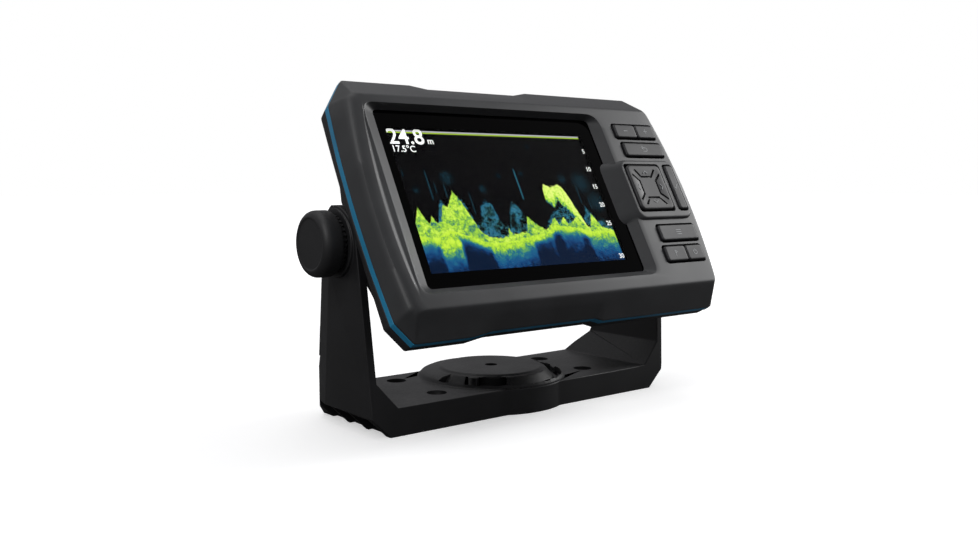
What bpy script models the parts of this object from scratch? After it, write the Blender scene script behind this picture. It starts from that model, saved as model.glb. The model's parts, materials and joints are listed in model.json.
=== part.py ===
"""Five inch chartplotter and fishfinder display on a bail bracket with two clamp knobs.

World frame: X to the right seen from the front, Y away from the viewer, Z up.  The origin
is on the underside of the bracket, below the centre of its round hub.  Every number is in
millimetres and MM turns it into Blender's metres.

The display is modelled in its own frame, whose origin is the middle of the tilt axis:
local X runs right across the screen, local Y up the screen and local Z out of the screen.
"""

from math import atan2, cos, pi, radians, sin, sqrt

import bmesh
import bpy
from mathutils import Matrix, Vector

MM = 0.001

# ---- driving dimensions -------------------------------------------------------------

GAP = 0.3                  # clearance left between touching pieces
TILT = 29.4                # lean of the screen back from upright, in degrees

PIVOT_Y = -11.1            # tilt axis, measured from the hub centre
PIVOT_Z = 78.4             # tilt axis above the surface the bracket stands on

ARM_FOOT_X = 85.4          # outer face of an arm at the ground
ARM_SPLAY = 0.051          # how far an arm leans out for each millimetre of height
ARM_WALL = 3.7
ARM_TOP_RADIUS = 15.5
ARM_FRONT_FOOT_Y = -31.5   # front edge of an arm at the ground
ARM_REAR_FOOT_Y = 18.2     # rear edge of an arm at the ground
BASE_HEIGHT = 11.7
CORNER_CHAMFER = 8.4
INNER_CHAMFER = (8.7, 11.0)
FOOT_REAR_Y = 27.0         # rear edge of the foot, deeper than the arms
HUB_FOOT_RADIUS = 34.6
HUB_RADIUS = 24.0
HUB_TOP = 16.3
HUB_FLANK_RADIUS = 29.7    # foot of the sloping flank inside the gutter
GUTTER_RADIUS = 33.6
GUTTER_ANGLES = (186.0, 366.0)
GUTTER_FLOOR = 10.0
WINDOW_ANGLES = (210.0, 242.0)        # outer side of the opening in the hub flank
WINDOW_INNER_ANGLES = (258.0, 194.0)  # and its inner side, drawn back the other way
PEG_CENTRE = (-22.0, -14.8)
PEG_RADIUS = 2.4
SLIT = [(39.7, 4.0), (38.7, 4.6), (27.7, -15.6), (28.7, -16.2)]
POCKET_TOP = 8.2           # the hollows under the foot stop this far above the ground
FOOT_POCKETS_X = ((55.0, 72.0), (8.0, 20.0))
FOOT_POCKETS_Y = ((-25.0, -2.0), (1.0, 17.0))
ARM_POCKETS_X = (75.0, 95.0)
ARM_POCKETS_Y = ((-27.9, -14.2), (-12.4, 0.6), (2.4, 15.0))
SCREW_HOLE_X = 44.0
SCREW_HOLE_Y = 16.0
SCREW_CENTRE_Y = -1.1

BOSS_RADIUS = 14.0         # round boss on the arm at the tilt axis
BOSS_INNER_X = 85.2
BOSS_OUTER_X = 90.6
STUD_RADIUS = 3.0
KNOB_RADIUS = 13.5
KNOB_INNER_X = 93.0
KNOB_OUTER_X = 101.4

FACE_W = 35.1              # front face of the bezel, in front of the tilt axis
BEZEL_BACK_W = 26.2
BAND_BACK_W = 23.0
FLANGE_BACK_W = 18.0
BODY_BACK_W = -10.0
PLATE_BACK_W = 31.4        # underside of the bezel's front plate
GLASS_THICKNESS = 1.5
OPENING = (-75.5, 45.0, -36.0, 44.0)        # left, right, bottom, top at the glass
OPENING_FRONT = (-81.3, 51.0, -39.2, 45.4)  # and where its slopes meet the face

# Outline of the display at four depths: widest half width with the height and radius of
# the bowed side, then the top edge, the bottom edge and the corner cuts.
FACE = dict(side=(91.0, -2.0, 235.0), top=49.7, bottom=-45.8, cut_top=(1.6, 2.2), cut_bottom=(1.6, 2.2))
RIM = dict(side=(93.6, 2.0, 520.0), top=60.3, bottom=-55.3, cut_top=(9.0, 12.2), cut_bottom=(6.0, 9.0))
FLANGE = dict(side=(92.0, 2.0, 1500.0), top=59.3, bottom=-54.9, cut_top=(9.0, 12.2), cut_bottom=(6.0, 9.0))
NOTCH_TOP = (-49.0, -40.0, 8.6, 16.0)
NOTCH_BOTTOM = (-57.5, -47.5, 9.0, 13.0)
NOTCH_DEPTH = 1.5

# Key name: left, right, bottom, top across the face, height of its top over the face.
KEYS = {
    "zoom_out_key": (57.0, 71.1, 32.6, 39.8, 1.0),
    "zoom_in_key": (71.7, 84.3, 32.6, 39.8, 1.0),
    "back_key": (58.7, 85.4, 22.4, 29.6, 1.0),
    "select_key": (80.2, 85.6, -7.3, 16.5, 2.0),
    "menu_key": (60.0, 85.6, -23.2, -15.2, 1.0),
    "marker_key": (58.5, 72.4, -33.9, -26.2, 1.0),
    "power_key": (73.0, 84.6, -33.9, -26.2, 1.0),
}
PAD = (53.2, 76.2, -7.3, 16.6)
ISLAND = (50.6, 88.3, -11.2, 19.4)
ISLAND_HEIGHT = 1.2

HOUSING_SCREWS = [(u, v) for v in (-49.8, 54.7) for u in (-70.0, 0.0, 70.0)]
SOCKET_CENTRE = (-22.0, 1.5)


# ---- helpers ------------------------------------------------------------------------

def material(name, colour, roughness, metallic=0.0, emission=None):
    """One Principled BSDF material; the colour is linear RGB."""
    mat = bpy.data.materials.new(name)
    mat.use_nodes = True
    shader = mat.node_tree.nodes["Principled BSDF"]
    shader.inputs["Base Color"].default_value = (*colour, 1.0)
    shader.inputs["Roughness"].default_value = roughness
    shader.inputs["Metallic"].default_value = metallic
    if emission:
        shader.inputs["Emission Color"].default_value = (*emission, 1.0)
        shader.inputs["Emission Strength"].default_value = 0.6
    return mat


def finish(name, bm, mat, parent=None, location=(0, 0, 0)):
    """Turn a bmesh made in millimetres into a named object with smooth round faces."""
    bmesh.ops.recalc_face_normals(bm, faces=bm.faces)
    bmesh.ops.scale(bm, vec=(MM, MM, MM), verts=bm.verts)
    mesh = bpy.data.meshes.new(name)
    bm.to_mesh(mesh)
    bm.free()
    mesh.shade_smooth()
    mesh.set_sharp_from_angle(angle=radians(30))
    obj = bpy.data.objects.new(name, mesh)
    obj.location = Vector(location) * MM
    obj.parent = parent
    if mat:
        mesh.materials.append(mat)
    bpy.context.scene.collection.objects.link(obj)
    return obj


def modify(target, operation, tool):
    """Cut the tool out of the target, or join it on; the tool itself is only a guide."""
    tool.hide_render = True
    tool.display_type = "WIRE"
    mod = target.modifiers.new(tool.name, "BOOLEAN")
    mod.operation = operation
    mod.solver = "EXACT"
    mod.object = tool


def skin(bm, rings, closed=False):
    """Join rings of matching points with faces, capped at both ends unless closed."""
    loops = [[bm.verts.new(point) for point in ring] for ring in rings]
    pairs = list(zip(loops, loops[1:]))
    if closed:
        pairs.append((loops[-1], loops[0]))
    for low, high in pairs:
        count = len(low)
        for i in range(count):
            j = (i + 1) % count
            bm.faces.new((low[i], low[j], high[j], high[i]))
    if not closed:
        bm.faces.new(loops[0])
        bm.faces.new(loops[-1])
    return bm


def lift(outline, depth):
    """Place a flat outline at one depth."""
    return [(x, y, depth) for x, y in outline]


def rounded(left, right, bottom, top, radius, steps=3):
    """Rectangle with round corners."""
    points = []
    corners = ((right, top, 0), (left, top, 90), (left, bottom, 180), (right, bottom, 270))
    for x, y, start in corners:
        cx = x - radius if x == right else x + radius
        cy = y - radius if y == top else y + radius
        for i in range(steps + 1):
            angle = radians(start + 90.0 * i / steps)
            points.append((cx + radius * cos(angle), cy + radius * sin(angle)))
    return points


def grown(box, amount):
    """Move the four sides of left, right, bottom, top outwards."""
    left, right, bottom, top = box
    return left - amount, right + amount, bottom - amount, top + amount


def arc(cx, cy, radius, start, end, steps):
    """Points along part of a circle, angles in degrees."""
    angles = [radians(start + (end - start) * i / steps) for i in range(steps + 1)]
    return [(cx + radius * cos(a), cy + radius * sin(a)) for a in angles]


def drum(bm, radius, low, high, axis="Z", centre=(0, 0), top_radius=None, sides=32):
    """Cylinder or cone between two positions along an axis."""
    turn = {"X": Matrix.Rotation(pi / 2, 4, "Y"), "Z": Matrix.Identity(4)}[axis]
    middle = 0.5 * (low + high)
    place = {"X": (middle, *centre), "Z": (*centre, middle)}[axis]
    matrix = Matrix.Translation(place) @ turn
    wide = radius if top_radius is None else top_radius
    bmesh.ops.create_cone(bm, cap_ends=True, segments=sides, radius1=radius, radius2=wide,
                          depth=high - low, matrix=matrix)
    return bm


def block(bm, left, right, front, rear, low, high):
    """Box between six planes."""
    size = Matrix.Diagonal((right - left, rear - front, high - low, 1.0))
    place = Matrix.Translation(((left + right) / 2, (front + rear) / 2, (low + high) / 2))
    bmesh.ops.create_cube(bm, size=1.0, matrix=place @ size)
    return bm


# ---- outlines of the display --------------------------------------------------------

def side_x(side, v):
    """Half width of a bowed side at height v."""
    widest, middle, radius = side
    return widest - (v - middle) ** 2 / (2.0 * radius)


def display_outline(side, top, bottom, cut_top, cut_bottom, notch=0.0, inset=0.0):
    """Closed outline of the display seen from the front, clockwise from the top left."""
    side = (side[0] - inset, side[1], side[2])
    top -= inset
    bottom += inset
    high = top - cut_top[1]
    low = bottom + cut_bottom[1]
    heights = [high + (low - high) * i / 8 for i in range(9)]
    right = [(side_x(side, v), v) for v in heights]
    left = [(-u, v) for u, v in reversed(right)]
    top_u = side_x(side, high) - cut_top[0]
    bottom_u = side_x(side, low) - cut_bottom[0]
    dips = (0.0, notch, notch, 0.0)
    top_edge = [(u, top - dip) for u, dip in zip(NOTCH_TOP, dips)]
    bottom_edge = [(u, bottom + dip) for u, dip in zip(reversed(NOTCH_BOTTOM), dips)]
    return ([(-top_u, top)] + top_edge + [(top_u, top)] + right
            + [(bottom_u, bottom)] + bottom_edge + [(-bottom_u, bottom)] + left)


# ---- bracket ------------------------------------------------------------------------

def bracket_section():
    """Front view of the U: foot, chamfered corner and splayed arm on each side."""
    top = PIVOT_Z + ARM_TOP_RADIUS + 2
    outer = [(ARM_FOOT_X + ARM_SPLAY * CORNER_CHAMFER, CORNER_CHAMFER),
             (ARM_FOOT_X + ARM_SPLAY * top, top)]
    bend = BASE_HEIGHT + INNER_CHAMFER[1]
    inner = [(ARM_FOOT_X - ARM_WALL + ARM_SPLAY * top, top),
             (ARM_FOOT_X - ARM_WALL + ARM_SPLAY * bend, bend),
             (ARM_FOOT_X - ARM_WALL - INNER_CHAMFER[0], BASE_HEIGHT)]
    right = [(ARM_FOOT_X - CORNER_CHAMFER + 0.1, 0.0)] + outer + inner
    return right + [(-x, z) for x, z in reversed(right)]


def bracket_side():
    """Side view of an arm with its round top, widening into the foot."""
    front = (ARM_FRONT_FOOT_Y, BASE_HEIGHT)
    rear = [(ARM_REAR_FOOT_Y - 0.111 * z, z) for z in (62.0, 28.0)] + [(FOOT_REAR_Y, BASE_HEIGHT)]
    round_top = arc(PIVOT_Y, PIVOT_Z, ARM_TOP_RADIUS, 10.0, 176.6, 14)
    return ([(-45.0, -1.0), (-45.0, BASE_HEIGHT), front] + round_top[::-1]
            + rear + [(45.0, BASE_HEIGHT), (45.0, -1.0)])


def bracket_plan():
    """Top view of the foot with a round bulge at the hub, front and rear."""
    front = ARM_FRONT_FOOT_Y
    rear = FOOT_REAR_Y
    bulge = HUB_FOOT_RADIUS + 0.6
    a = atan2(front, sqrt(bulge ** 2 - front ** 2)) * 180 / pi
    b = atan2(rear, sqrt(bulge ** 2 - rear ** 2)) * 180 / pi
    front_arc = arc(0, 0, bulge, -180 - a, a, 10)
    rear_arc = arc(0, 0, bulge, b, 180 - b, 14)
    right = [(95.0, -10.7), (90.6, -10.7), (84.0, 13.0), (82.6, 17.5), (74.0, rear)]
    left = [(-x, y) for x, y in reversed(right)]
    return [(-95.0, front)] + front_arc + [(95.0, front)] + right + rear_arc + left


def make_bracket(mat):
    """Moulded bail bracket: two arms, a foot with a round hub, and ribs underneath."""
    bm = skin(bmesh.new(), [[(x, y, z) for x, z in bracket_section()] for y in (-45.0, 45.0)])
    bracket = finish("bail_bracket", bm, mat)

    side = skin(bmesh.new(), [[(x, y, z) for y, z in bracket_side()] for x in (-95.0, 95.0)])
    modify(bracket, "INTERSECT", finish("side_form", side, None))
    plan = skin(bmesh.new(), [lift(bracket_plan(), z) for z in (-2.0, 98.0)])
    modify(bracket, "INTERSECT", finish("plan_form", plan, None))

    profile = [(HUB_FOOT_RADIUS, BASE_HEIGHT - 1), (HUB_FOOT_RADIUS, BASE_HEIGHT),
               (HUB_FOOT_RADIUS - 1.2, HUB_TOP - 2.7), (HUB_FOOT_RADIUS - 3.6, HUB_TOP - 1.7),
               (HUB_RADIUS + 1.0, HUB_TOP - 0.9), (HUB_RADIUS, HUB_TOP)]
    hub = skin(bmesh.new(), [lift(arc(0, 0, r, 0, 352.5, 47), z) for r, z in profile])
    modify(bracket, "UNION", finish("hub_form", hub, None))

    section = [(HUB_RADIUS + 0.7, HUB_TOP + 0.5), (HUB_FLANK_RADIUS, BASE_HEIGHT - 0.7),
               (HUB_FLANK_RADIUS, GUTTER_FLOOR), (GUTTER_RADIUS, GUTTER_FLOOR),
               (GUTTER_RADIUS, HUB_TOP + 0.5)]
    start, end = GUTTER_ANGLES
    rings = []
    for step in range(37):
        angle = radians(start + (end - start) * step / 36)
        rings.append([(r * cos(angle), r * sin(angle), z) for r, z in section])
    modify(bracket, "DIFFERENCE", finish("hub_gutter", skin(bmesh.new(), rings), None))
    window = arc(0, 0, 31.5, *WINDOW_ANGLES, 6) + arc(0, 0, 20.5, *WINDOW_INNER_ANGLES, 10)
    opening = skin(bmesh.new(), [lift(window, z) for z in (GUTTER_FLOOR - 0.4, HUB_TOP - 1.1)])
    modify(bracket, "DIFFERENCE", finish("hub_window", opening, None))
    peg = drum(bmesh.new(), PEG_RADIUS, GUTTER_FLOOR - 1.5, HUB_TOP - 1.0, centre=PEG_CENTRE, sides=20)
    modify(bracket, "UNION", finish("hub_peg", peg, None))
    slit = skin(bmesh.new(), [lift(SLIT, z) for z in (GUTTER_FLOOR - 0.2, HUB_TOP + 1.0)])
    modify(bracket, "DIFFERENCE", finish("hub_slit", slit, None))

    for sign in (-1, 1):
        low, high = sorted((sign * BOSS_INNER_X, sign * BOSS_OUTER_X))
        boss = drum(bmesh.new(), BOSS_RADIUS, low, high, "X", (PIVOT_Y, PIVOT_Z), sides=40)
        modify(bracket, "UNION", finish("boss_form", boss, None))

    cuts = bmesh.new()
    drum(cuts, STUD_RADIUS + 0.5, -95.0, 95.0, "X", (PIVOT_Y, PIVOT_Z), sides=24)
    drum(cuts, 3.0, 7.0, HUB_TOP + 2, sides=20)
    modify(bracket, "DIFFERENCE", finish("bore_form", cuts, None))

    for x in (-SCREW_HOLE_X, SCREW_HOLE_X):
        for y in (SCREW_CENTRE_Y - SCREW_HOLE_Y, SCREW_CENTRE_Y + SCREW_HOLE_Y):
            hole = [lift(arc(x, y, r, 0, 345, 23), z)
                    for r, z in ((2.4, -1), (2.4, BASE_HEIGHT - 4.5), (4.5, BASE_HEIGHT - 3.0),
                                 (4.5, BASE_HEIGHT + 1))]
            modify(bracket, "DIFFERENCE", finish("screw_hole", skin(bmesh.new(), hole), None))

    under = bmesh.new()
    for sign in (-1, 1):
        for near, far in FOOT_POCKETS_X:
            left, right = sorted((sign * near, sign * far))
            for front, rear in FOOT_POCKETS_Y:
                block(under, left, right, front, rear, -1.0, POCKET_TOP)
        left, right = sorted(sign * x for x in ARM_POCKETS_X)
        for front, rear in ARM_POCKETS_Y:
            block(under, left, right, front, rear, -1.0, POCKET_TOP)
    modify(bracket, "DIFFERENCE", finish("rib_form", under, None))
    return bracket


# ---- clamp knobs --------------------------------------------------------------------

def make_knob(side, sign, grip_mat, steel):
    """Round moulded knob on a steel stud, turning on the tilt axis."""
    axle = bpy.data.objects.new(side + "_knob_axis", None)
    axle.location = Vector((0, PIVOT_Y, PIVOT_Z)) * MM
    bpy.context.scene.collection.objects.link(axle)

    profile = [(8.0, BOSS_OUTER_X + GAP), (8.0, KNOB_INNER_X), (KNOB_RADIUS - 0.6, KNOB_INNER_X),
               (KNOB_RADIUS, KNOB_INNER_X + 0.6), (KNOB_RADIUS, KNOB_OUTER_X - 1.6),
               (KNOB_RADIUS - 1.4, KNOB_OUTER_X), (KNOB_RADIUS - 2.6, KNOB_OUTER_X),
               (KNOB_RADIUS - 3.0, KNOB_OUTER_X - 0.4)]
    rings = [[(sign * x, y, z) for y, z in arc(0, 0, r, 0, 352.5, 47)] for r, x in profile]
    grip = finish(side + "_knob", skin(bmesh.new(), rings), grip_mat, axle)
    bore = drum(bmesh.new(), STUD_RADIUS + GAP, *sorted((sign * 80.0, sign * 98.5)), "X", sides=24)
    modify(grip, "DIFFERENCE", finish(side + "_stud_bore", bore, None, axle))

    ends = [(STUD_RADIUS - 0.6, 74.0), (STUD_RADIUS, 74.8), (STUD_RADIUS, 98.2)]
    rings = [[(sign * x, y, z) for y, z in arc(0, 0, r, 0, 345, 23)] for r, x in ends]
    finish(side + "_knob_stud", skin(bmesh.new(), rings), steel, axle)


# ---- display shells -----------------------------------------------------------------

def make_bezel(frame, mat):
    """Front moulding: sloping rim, screen opening, raised island and key openings."""
    rings = [lift(display_outline(**RIM, notch=NOTCH_DEPTH), BEZEL_BACK_W),
             lift(display_outline(**RIM, notch=NOTCH_DEPTH), BEZEL_BACK_W + 0.8),
             lift(display_outline(**FACE), FACE_W - 0.5),
             lift(display_outline(**FACE, inset=0.9), FACE_W)]
    bezel = finish("front_bezel", skin(bmesh.new(), rings), mat, frame)

    hollow = [lift(rounded(-86.0, 86.0, -44.6, 49.6, 10.0), z) for z in (BEZEL_BACK_W - 1, PLATE_BACK_W)]
    modify(bezel, "DIFFERENCE", finish("bezel_hollow", skin(bmesh.new(), hollow), None, frame))

    opening = [lift(rounded(*OPENING, 3.0), PLATE_BACK_W - 1),
               lift(rounded(*OPENING, 3.0), PLATE_BACK_W),
               lift(rounded(*OPENING_FRONT, 6.0), FACE_W + 0.01),
               lift(rounded(*OPENING_FRONT, 6.0), FACE_W + 2)]
    modify(bezel, "DIFFERENCE", finish("screen_opening", skin(bmesh.new(), opening), None, frame))

    left, right, bottom, top = ISLAND
    island = [lift(rounded(left - 8.6, right, bottom - 1.0, top + 1.0, 5.0), PLATE_BACK_W + 0.2),
              lift(rounded(left - 0.4, right, bottom, top, 5.0), FACE_W + ISLAND_HEIGHT - 0.5),
              lift(rounded(*grown(ISLAND, -0.6), 4.4), FACE_W + ISLAND_HEIGHT)]
    modify(bezel, "UNION", finish("island_form", skin(bmesh.new(), island), None, frame))

    pairs = [("zoom_out_key", "zoom_in_key"), ("back_key", "back_key"), ("select_key", "select_key"),
             ("menu_key", "menu_key"), ("marker_key", "power_key")]
    holes = bmesh.new()
    for first, last in pairs:
        box = (KEYS[first][0], KEYS[last][1], KEYS[first][2], KEYS[first][3])
        outline = rounded(*grown(box, 0.5), 1.2)
        skin(holes, [lift(outline, z) for z in (PLATE_BACK_W - 1, FACE_W + 3)])
    skin(holes, [lift(rounded(*grown(PAD, 0.6), 3.0), z) for z in (PLATE_BACK_W - 1, FACE_W + 3)])
    modify(bezel, "DIFFERENCE", finish("key_openings", holes, None, frame))

    pilots = bmesh.new()
    for u, v in HOUSING_SCREWS:
        drum(pilots, 1.4 + GAP, BEZEL_BACK_W - 1, BEZEL_BACK_W + 3.0, "Z", (u, v), sides=16)
    modify(bezel, "DIFFERENCE", finish("screw_pilots", pilots, None, frame))
    return bezel


def make_ring(name, outer, inner, low, high, mat, frame):
    """Flat ring between two outlines."""
    rings = [lift(outer, low), lift(outer, high), lift(inner, high), lift(inner, low)]
    return finish(name, skin(bmesh.new(), rings, closed=True), mat, frame)


def make_rear_housing(frame, mat):
    """Deep rear shell: flange, tapering body, pivot bosses and the socket opening."""
    body = [(FLANGE_BACK_W - GAP, 82.9, -48.5, 52.0), (6.6, 82.9, -39.5, 48.5),
            (6.2, 82.6, -39.0, 31.0), (2.4, 82.0, -29.0, 29.0), (-2.0, 80.0, -24.0, 27.0),
            (BODY_BACK_W, 71.0, -19.0, 22.0)]
    space = [(BAND_BACK_W + 2.0, 79.6, -44.6, 49.0), (11.0, 79.6, -39.5, 46.0),
             (9.6, 79.4, -36.5, 28.0), (5.4, 79.0, -31.0, 27.0), (1.0, 77.0, -21.0, 24.0),
             (BODY_BACK_W + 3.0, 67.0, -16.0, 19.0)]
    flange = [lift(display_outline(**FLANGE, notch=NOTCH_DEPTH), FLANGE_BACK_W),
              lift(display_outline(**RIM, notch=NOTCH_DEPTH, inset=0.2), FLANGE_BACK_W + 3.0),
              lift(display_outline(**RIM, notch=NOTCH_DEPTH, inset=0.2), BAND_BACK_W - GAP)]
    housing = finish("rear_housing", skin(bmesh.new(), flange), mat, frame)

    shell = [lift(rounded(-u, u, low, high, 7.0, 4), w) for w, u, low, high in body]
    shell.insert(0, [(x, y, FLANGE_BACK_W + 2.0) for x, y, _ in shell[0]])
    modify(housing, "UNION", finish("body_form", skin(bmesh.new(), shell), None, frame))

    for sign in (-1, 1):
        low, high = sorted((sign * 68.0, sign * 83.3))
        boss = drum(bmesh.new(), 12.5, low, high, "X", sides=32)
        modify(housing, "UNION", finish("pivot_boss_form", boss, None, frame))

    inside = [lift(rounded(-u, u, low, high, 5.0), w) for w, u, low, high in space]
    modify(housing, "DIFFERENCE", finish("body_hollow", skin(bmesh.new(), inside), None, frame))

    for sign in (-1, 1):
        low, high = sorted((sign * 71.0, sign * 79.5))
        post = drum(bmesh.new(), 9.0, low, high, "X", sides=28)
        modify(housing, "UNION", finish("insert_post", post, None, frame))
        low, high = sorted((sign * 72.4, sign * 90.0))
        bore = drum(bmesh.new(), 5.0 + GAP, low, high, "X", sides=28)
        modify(housing, "DIFFERENCE", finish("insert_bore", bore, None, frame))

    holes = bmesh.new()
    drum(holes, 10.0 + GAP, BODY_BACK_W - 1, BODY_BACK_W + 4, "Z", SOCKET_CENTRE, sides=32)
    for u, v in HOUSING_SCREWS:
        rings = [lift(arc(u, v, r, 0, 337.5, 15), w)
                 for r, w in ((2.9, FLANGE_BACK_W - 3), (2.9, FLANGE_BACK_W + 2.6),
                              (1.4 + GAP, FLANGE_BACK_W + 2.6), (1.4 + GAP, BAND_BACK_W + 1))]
        skin(holes, rings)
    modify(housing, "DIFFERENCE", finish("housing_holes", holes, None, frame))
    return housing


# ---- inside the display -------------------------------------------------------------

def make_slab(name, box, radius, low, high, mat, frame):
    """Flat rounded plate."""
    rings = [lift(rounded(*box, radius), w) for w in (low, high)]
    return finish(name, skin(bmesh.new(), rings), mat, frame)


def make_socket(frame, body_mat, pin_mat):
    """Round plug socket for power and transducer, with four pins."""
    steps = [(10.0, BODY_BACK_W - 0.2), (10.0, BODY_BACK_W + 4.0)]
    outer = [lift(arc(*SOCKET_CENTRE, r, 0, 348.75, 31), w) for r, w in steps]
    socket = finish("connector_socket", skin(bmesh.new(), outer), body_mat, frame)
    hole = drum(bmesh.new(), 7.4, BODY_BACK_W - 1, BODY_BACK_W + 2.4, "Z", SOCKET_CENTRE, sides=32)
    modify(socket, "DIFFERENCE", finish("socket_recess", hole, None, frame))
    pins = [(3.2 * cos(radians(45 + 90 * i)), 3.2 * sin(radians(45 + 90 * i))) for i in range(4)]
    slots = bmesh.new()
    for x, y in pins:
        centre = (SOCKET_CENTRE[0] + x, SOCKET_CENTRE[1] + y)
        drum(slots, 0.8 + GAP, BODY_BACK_W + 1, BODY_BACK_W + 6, "Z", centre, sides=12)
    modify(socket, "DIFFERENCE", finish("pin_slots", slots, None, frame))
    for number, (x, y) in enumerate(pins, 1):
        centre = (SOCKET_CENTRE[0] + x, SOCKET_CENTRE[1] + y)
        pin = drum(bmesh.new(), 0.8, BODY_BACK_W + 0.6, BODY_BACK_W + 5.4, "Z", centre, sides=12)
        finish("socket_pin_%d" % number, pin, pin_mat, frame)


def make_inside(frame, mats):
    """Glass, screen module, boards, keypad, seal and sound maker."""
    glass_back = PLATE_BACK_W - GAP - GLASS_THICKNESS
    make_slab("display_window", (-79.0, 48.4, -39.4, 47.2), 3.0, glass_back,
              PLATE_BACK_W - GAP, mats["glass"], frame)
    module = (-77.6, 44.0, -35.4, 42.2)
    lcd_back = glass_back - GAP - 3.2
    make_slab("lcd_panel", module, 1.0, lcd_back, glass_back - GAP, mats["screen"], frame)
    light_back = lcd_back - GAP - 3.0
    make_slab("lcd_backlight", module, 1.0, light_back, lcd_back - GAP, mats["backlight"], frame)
    make_slab("main_board", (-68.0, 68.0, -36.0, 41.0), 2.0, 11.0, 12.6, mats["board"], frame)
    make_slab("sonar_shield_can", (8.0, 58.0, -26.0, 18.0), 1.5, 4.6, 10.7, mats["can"], frame)
    buzzer = drum(bmesh.new(), 6.0, 4.8, 10.7, "Z", (-52.0, 12.0), sides=24)
    finish("buzzer", buzzer, mats["socket"], frame)
    make_slab("keypad_board", (51.4, 84.2, -37.0, 42.0), 5.0, 24.6, 26.2, mats["board"], frame)
    make_slab("keypad_mat", (51.4, 84.8, -37.5, 42.5), 5.0, 26.5, 28.2, mats["rubber"], frame)
    make_ring("housing_seal", rounded(-88.7, 88.7, -48.0, 52.6, 14.0, 4),
              rounded(-86.6, 86.6, -46.2, 50.8, 11.7, 4), BAND_BACK_W, BEZEL_BACK_W - GAP,
              mats["rubber"], frame)


def make_screws(frame, steel):
    """Six pan head screws that pull the rear housing onto the bezel."""
    for number, (u, v) in enumerate(HOUSING_SCREWS, 1):
        head = FLANGE_BACK_W + 0.4
        rings = [lift(arc(u, v, r, 0, 337.5, 15), w)
                 for r, w in ((1.9, head), (2.5, head + 0.6), (2.5, head + 1.9), (1.4, head + 1.9),
                              (1.4, BEZEL_BACK_W + 2.5))]
        finish("housing_screw_%d" % number, skin(bmesh.new(), rings), steel, frame)


def make_pivot_fittings(frame, rubber, brass):
    """Grip washer and threaded insert at each end of the tilt axis."""
    for side, sign in (("left", -1), ("right", 1)):
        near, far = 83.6, BOSS_INNER_X - GAP
        outer = [[(sign * x, y, z) for y, z in arc(0, 0, r, 0, 348.75, 31)]
                 for r, x in ((12.0, near), (12.0, far), (5.0, far), (5.0, near))]
        finish(side + "_grip_washer", skin(bmesh.new(), outer, closed=True), rubber, frame)
        tube = [[(sign * x, y, z) for y, z in arc(0, 0, r, 0, 345, 23)]
                for r, x in ((5.0, 72.8), (5.0, 83.2), (STUD_RADIUS + GAP, 83.2),
                             (STUD_RADIUS + GAP, 72.8))]
        finish(side + "_threaded_insert", skin(bmesh.new(), tube, closed=True), brass, frame)


# ---- keys ---------------------------------------------------------------------------

def make_key(name, left, right, bottom, top, proud, mat, frame):
    """Rubber key with a retaining foot, its origin on its own centre."""
    u, v = (left + right) / 2, (bottom + top) / 2
    half = (left - u, right - u, bottom - v, top - v)
    foot = (half[0], half[1], half[2] - 0.9, half[3] + 0.9)
    height = FACE_W + proud
    rings = [lift(rounded(*foot, 0.8), 29.4), lift(rounded(*foot, 0.8), 31.0),
             lift(rounded(*half, 0.8), 31.0), lift(rounded(*half, 0.8), height - 0.5),
             lift(rounded(*grown(half, -0.5), 0.6), height)]
    return finish(name, skin(bmesh.new(), rings), mat, frame, (u, v, 0.0))


def make_direction_pad(mat, rubber, frame):
    """Four way rocker pad on a small post that lets it tip both ways."""
    left, right, bottom, top = PAD
    u, v = (left + right) / 2, (bottom + top) / 2
    half = (left - u, right - u, bottom - v, top - v)
    height = FACE_W + 2.0
    rings = [lift(rounded(*half, 2.6), 30.4), lift(rounded(*half, 2.6), height - 0.5),
             lift(rounded(*grown(half, -0.6), 2.0), height),
             lift(rounded(*grown(half, -5.0), 1.5), height - 0.35)]
    pad = finish("direction_pad", skin(bmesh.new(), rings), mat, frame, (u, v, 0.0))
    grooves = bmesh.new()
    chevron = [(-7.4, 9.2), (-3.7, 5.0), (3.7, 5.0), (7.4, 9.2),
               (6.2, 9.6), (3.2, 6.1), (-3.2, 6.1), (-6.2, 9.6)]
    for quarter in range(4):
        turn = Matrix.Rotation(quarter * pi / 2, 3, "Z")
        bar = [turn @ Vector((x, y, 0.0)) for x, y in chevron]
        skin(grooves, [[(p.x, p.y, w) for p in bar] for w in (height - 0.9, height + 1)])
    modify(pad, "DIFFERENCE", finish("pad_grooves", grooves, None, frame, (u, v, 0.0)))
    post = drum(bmesh.new(), 2.2, 28.6, 30.1, "Z", sides=16)
    finish("direction_pad_post", post, rubber, frame, (u, v, 0.0))


# ---- assembly -----------------------------------------------------------------------

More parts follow.
